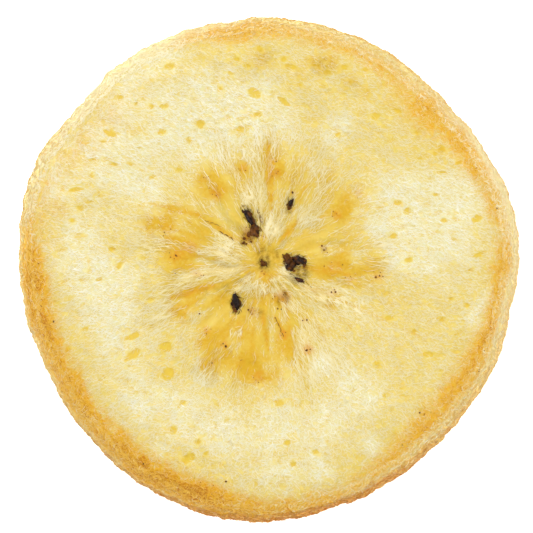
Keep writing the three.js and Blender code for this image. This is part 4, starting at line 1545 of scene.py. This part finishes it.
class SLICE_OT_stage(bpy.types.Operator):
    """Set the floor, the lights and the camera"""

    bl_idname = "slice.stage"
    bl_label = "Stage"

    def execute(self, context):
        scene = context.scene
        scene.view_settings.view_transform = "Standard"
        self.floor(scene)
        self.lights(scene)
        self.camera(scene)
        return {"FINISHED"}

    @staticmethod
    def floor(scene):
        bm = bmesh.new()
        bmesh.ops.create_grid(bm, x_segments=4, y_segments=4, size=FLOOR_REACH)
        bmesh.ops.translate(bm, verts=bm.verts[:], vec=(0, 0, -FLOOR_DROP))
        mesh = finished(bm, "pale_floor")
        material, tree = new_material("white_light_table")
        # A white sheet lit from behind, so that no shadow greys it.
        surface = add_node(
            tree,
            "ShaderNodeBsdfPrincipled",
            {
                "Base Color": linear("#F6F6F4"),
                "Roughness": 0.9,
                "Specular IOR Level": 0.1,
                "Emission Color": linear("#FFFFFF"),
                "Emission Strength": 0.75,
            },
        )
        add_node(tree, "ShaderNodeOutputMaterial", {"Surface": surface.outputs["BSDF"]})
        mesh.materials.append(material)
        floor = bpy.data.objects.new("pale_floor", mesh)
        scene.collection.objects.link(floor)

    @staticmethod
    def lights(scene):
        world = bpy.data.worlds.new("studio")
        scene.world = world
        world.use_nodes = True
        background = world.node_tree.nodes["Background"]
        background.inputs["Color"].default_value = SKY
        background.inputs["Strength"].default_value = SKY_STRENGTH
        for name, place, side, power in LAMPS:
            light = bpy.data.lights.new(name, "AREA")
            light.shape = "SQUARE"
            light.size = side
            light.energy = power
            lamp = bpy.data.objects.new(name, light)
            scene.collection.objects.link(lamp)
            lamp.location = place
            lamp.rotation_euler = (-Vector(place)).to_track_quat("-Z", "Y").to_euler()

    @staticmethod
    def camera(scene):
        data = bpy.data.cameras.new("camera")
        width = FRAMING * PHOTO_SIDE * PIXEL * MM
        data.sensor_width = SENSOR
        data.lens = SENSOR * CAMERA_DISTANCE / width
        data.clip_end = 20
        camera = bpy.data.objects.new("camera", data)
        scene.collection.objects.link(camera)
        tilt, bearing = math.radians(CAMERA_TILT), math.radians(CAMERA_BEARING)
        out = math.sin(tilt)
        back = Vector((out * math.cos(bearing), out * math.sin(bearing), math.cos(tilt)))
        right = Vector((0, 1, 0)).cross(back).normalized()
        above = back.cross(right)
        shift_x, shift_y = (pixels * PIXEL * MM for pixels in CAMERA_SHIFT)
        target = Vector((shift_x, shift_y, 0.55 * THICKNESS * MM))
        turn = Matrix((right, above, back)).transposed().to_4x4()
        camera.matrix_world = Matrix.Translation(target + back * CAMERA_DISTANCE) @ turn
        scene.camera = camera


class SLICE_PT_panel(bpy.types.Panel):
    """Lists the sizes, the colours and the steps in the sidebar"""

    bl_idname = "SLICE_PT_panel"
    bl_label = "Banana Slice"
    bl_space_type = "VIEW_3D"
    bl_region_type = "UI"
    bl_category = "Slice"

    def draw(self, context):
        layout = self.layout
        for group in (context.scene.slice_sizes, context.scene.slice_colours):
            for name in group.__annotations__:
                layout.prop(group, name)
        for step in STEPS:
            layout.operator(step.bl_idname)


STEPS = (
    SLICE_OT_stage,
    SLICE_OT_body,
    SLICE_OT_felt,
    SLICE_OT_lint,
    SLICE_OT_core,
    SLICE_OT_rim,
    SLICE_OT_crust,
    SLICE_OT_seeds,
    SLICE_OT_threads,
)
CLASSES = (SliceSizes, SliceColours, *STEPS, SLICE_PT_panel)


def register():
    for item in CLASSES:
        bpy.utils.register_class(item)
    bpy.types.Scene.slice_sizes = bpy.props.PointerProperty(type=SliceSizes)
    bpy.types.Scene.slice_colours = bpy.props.PointerProperty(type=SliceColours)


def unregister():
    del bpy.types.Scene.slice_colours
    del bpy.types.Scene.slice_sizes
    for item in reversed(CLASSES):
        bpy.utils.unregister_class(item)


def main():
    register()
    bpy.ops.slice.stage()
    bpy.ops.slice.body()
    bpy.ops.slice.felt()
    bpy.ops.slice.lint()
    bpy.ops.slice.core()
    bpy.ops.slice.rim()
    bpy.ops.slice.crust()
    bpy.ops.slice.seeds()
    bpy.ops.slice.threads()


if __name__ == "__main__":
    main()
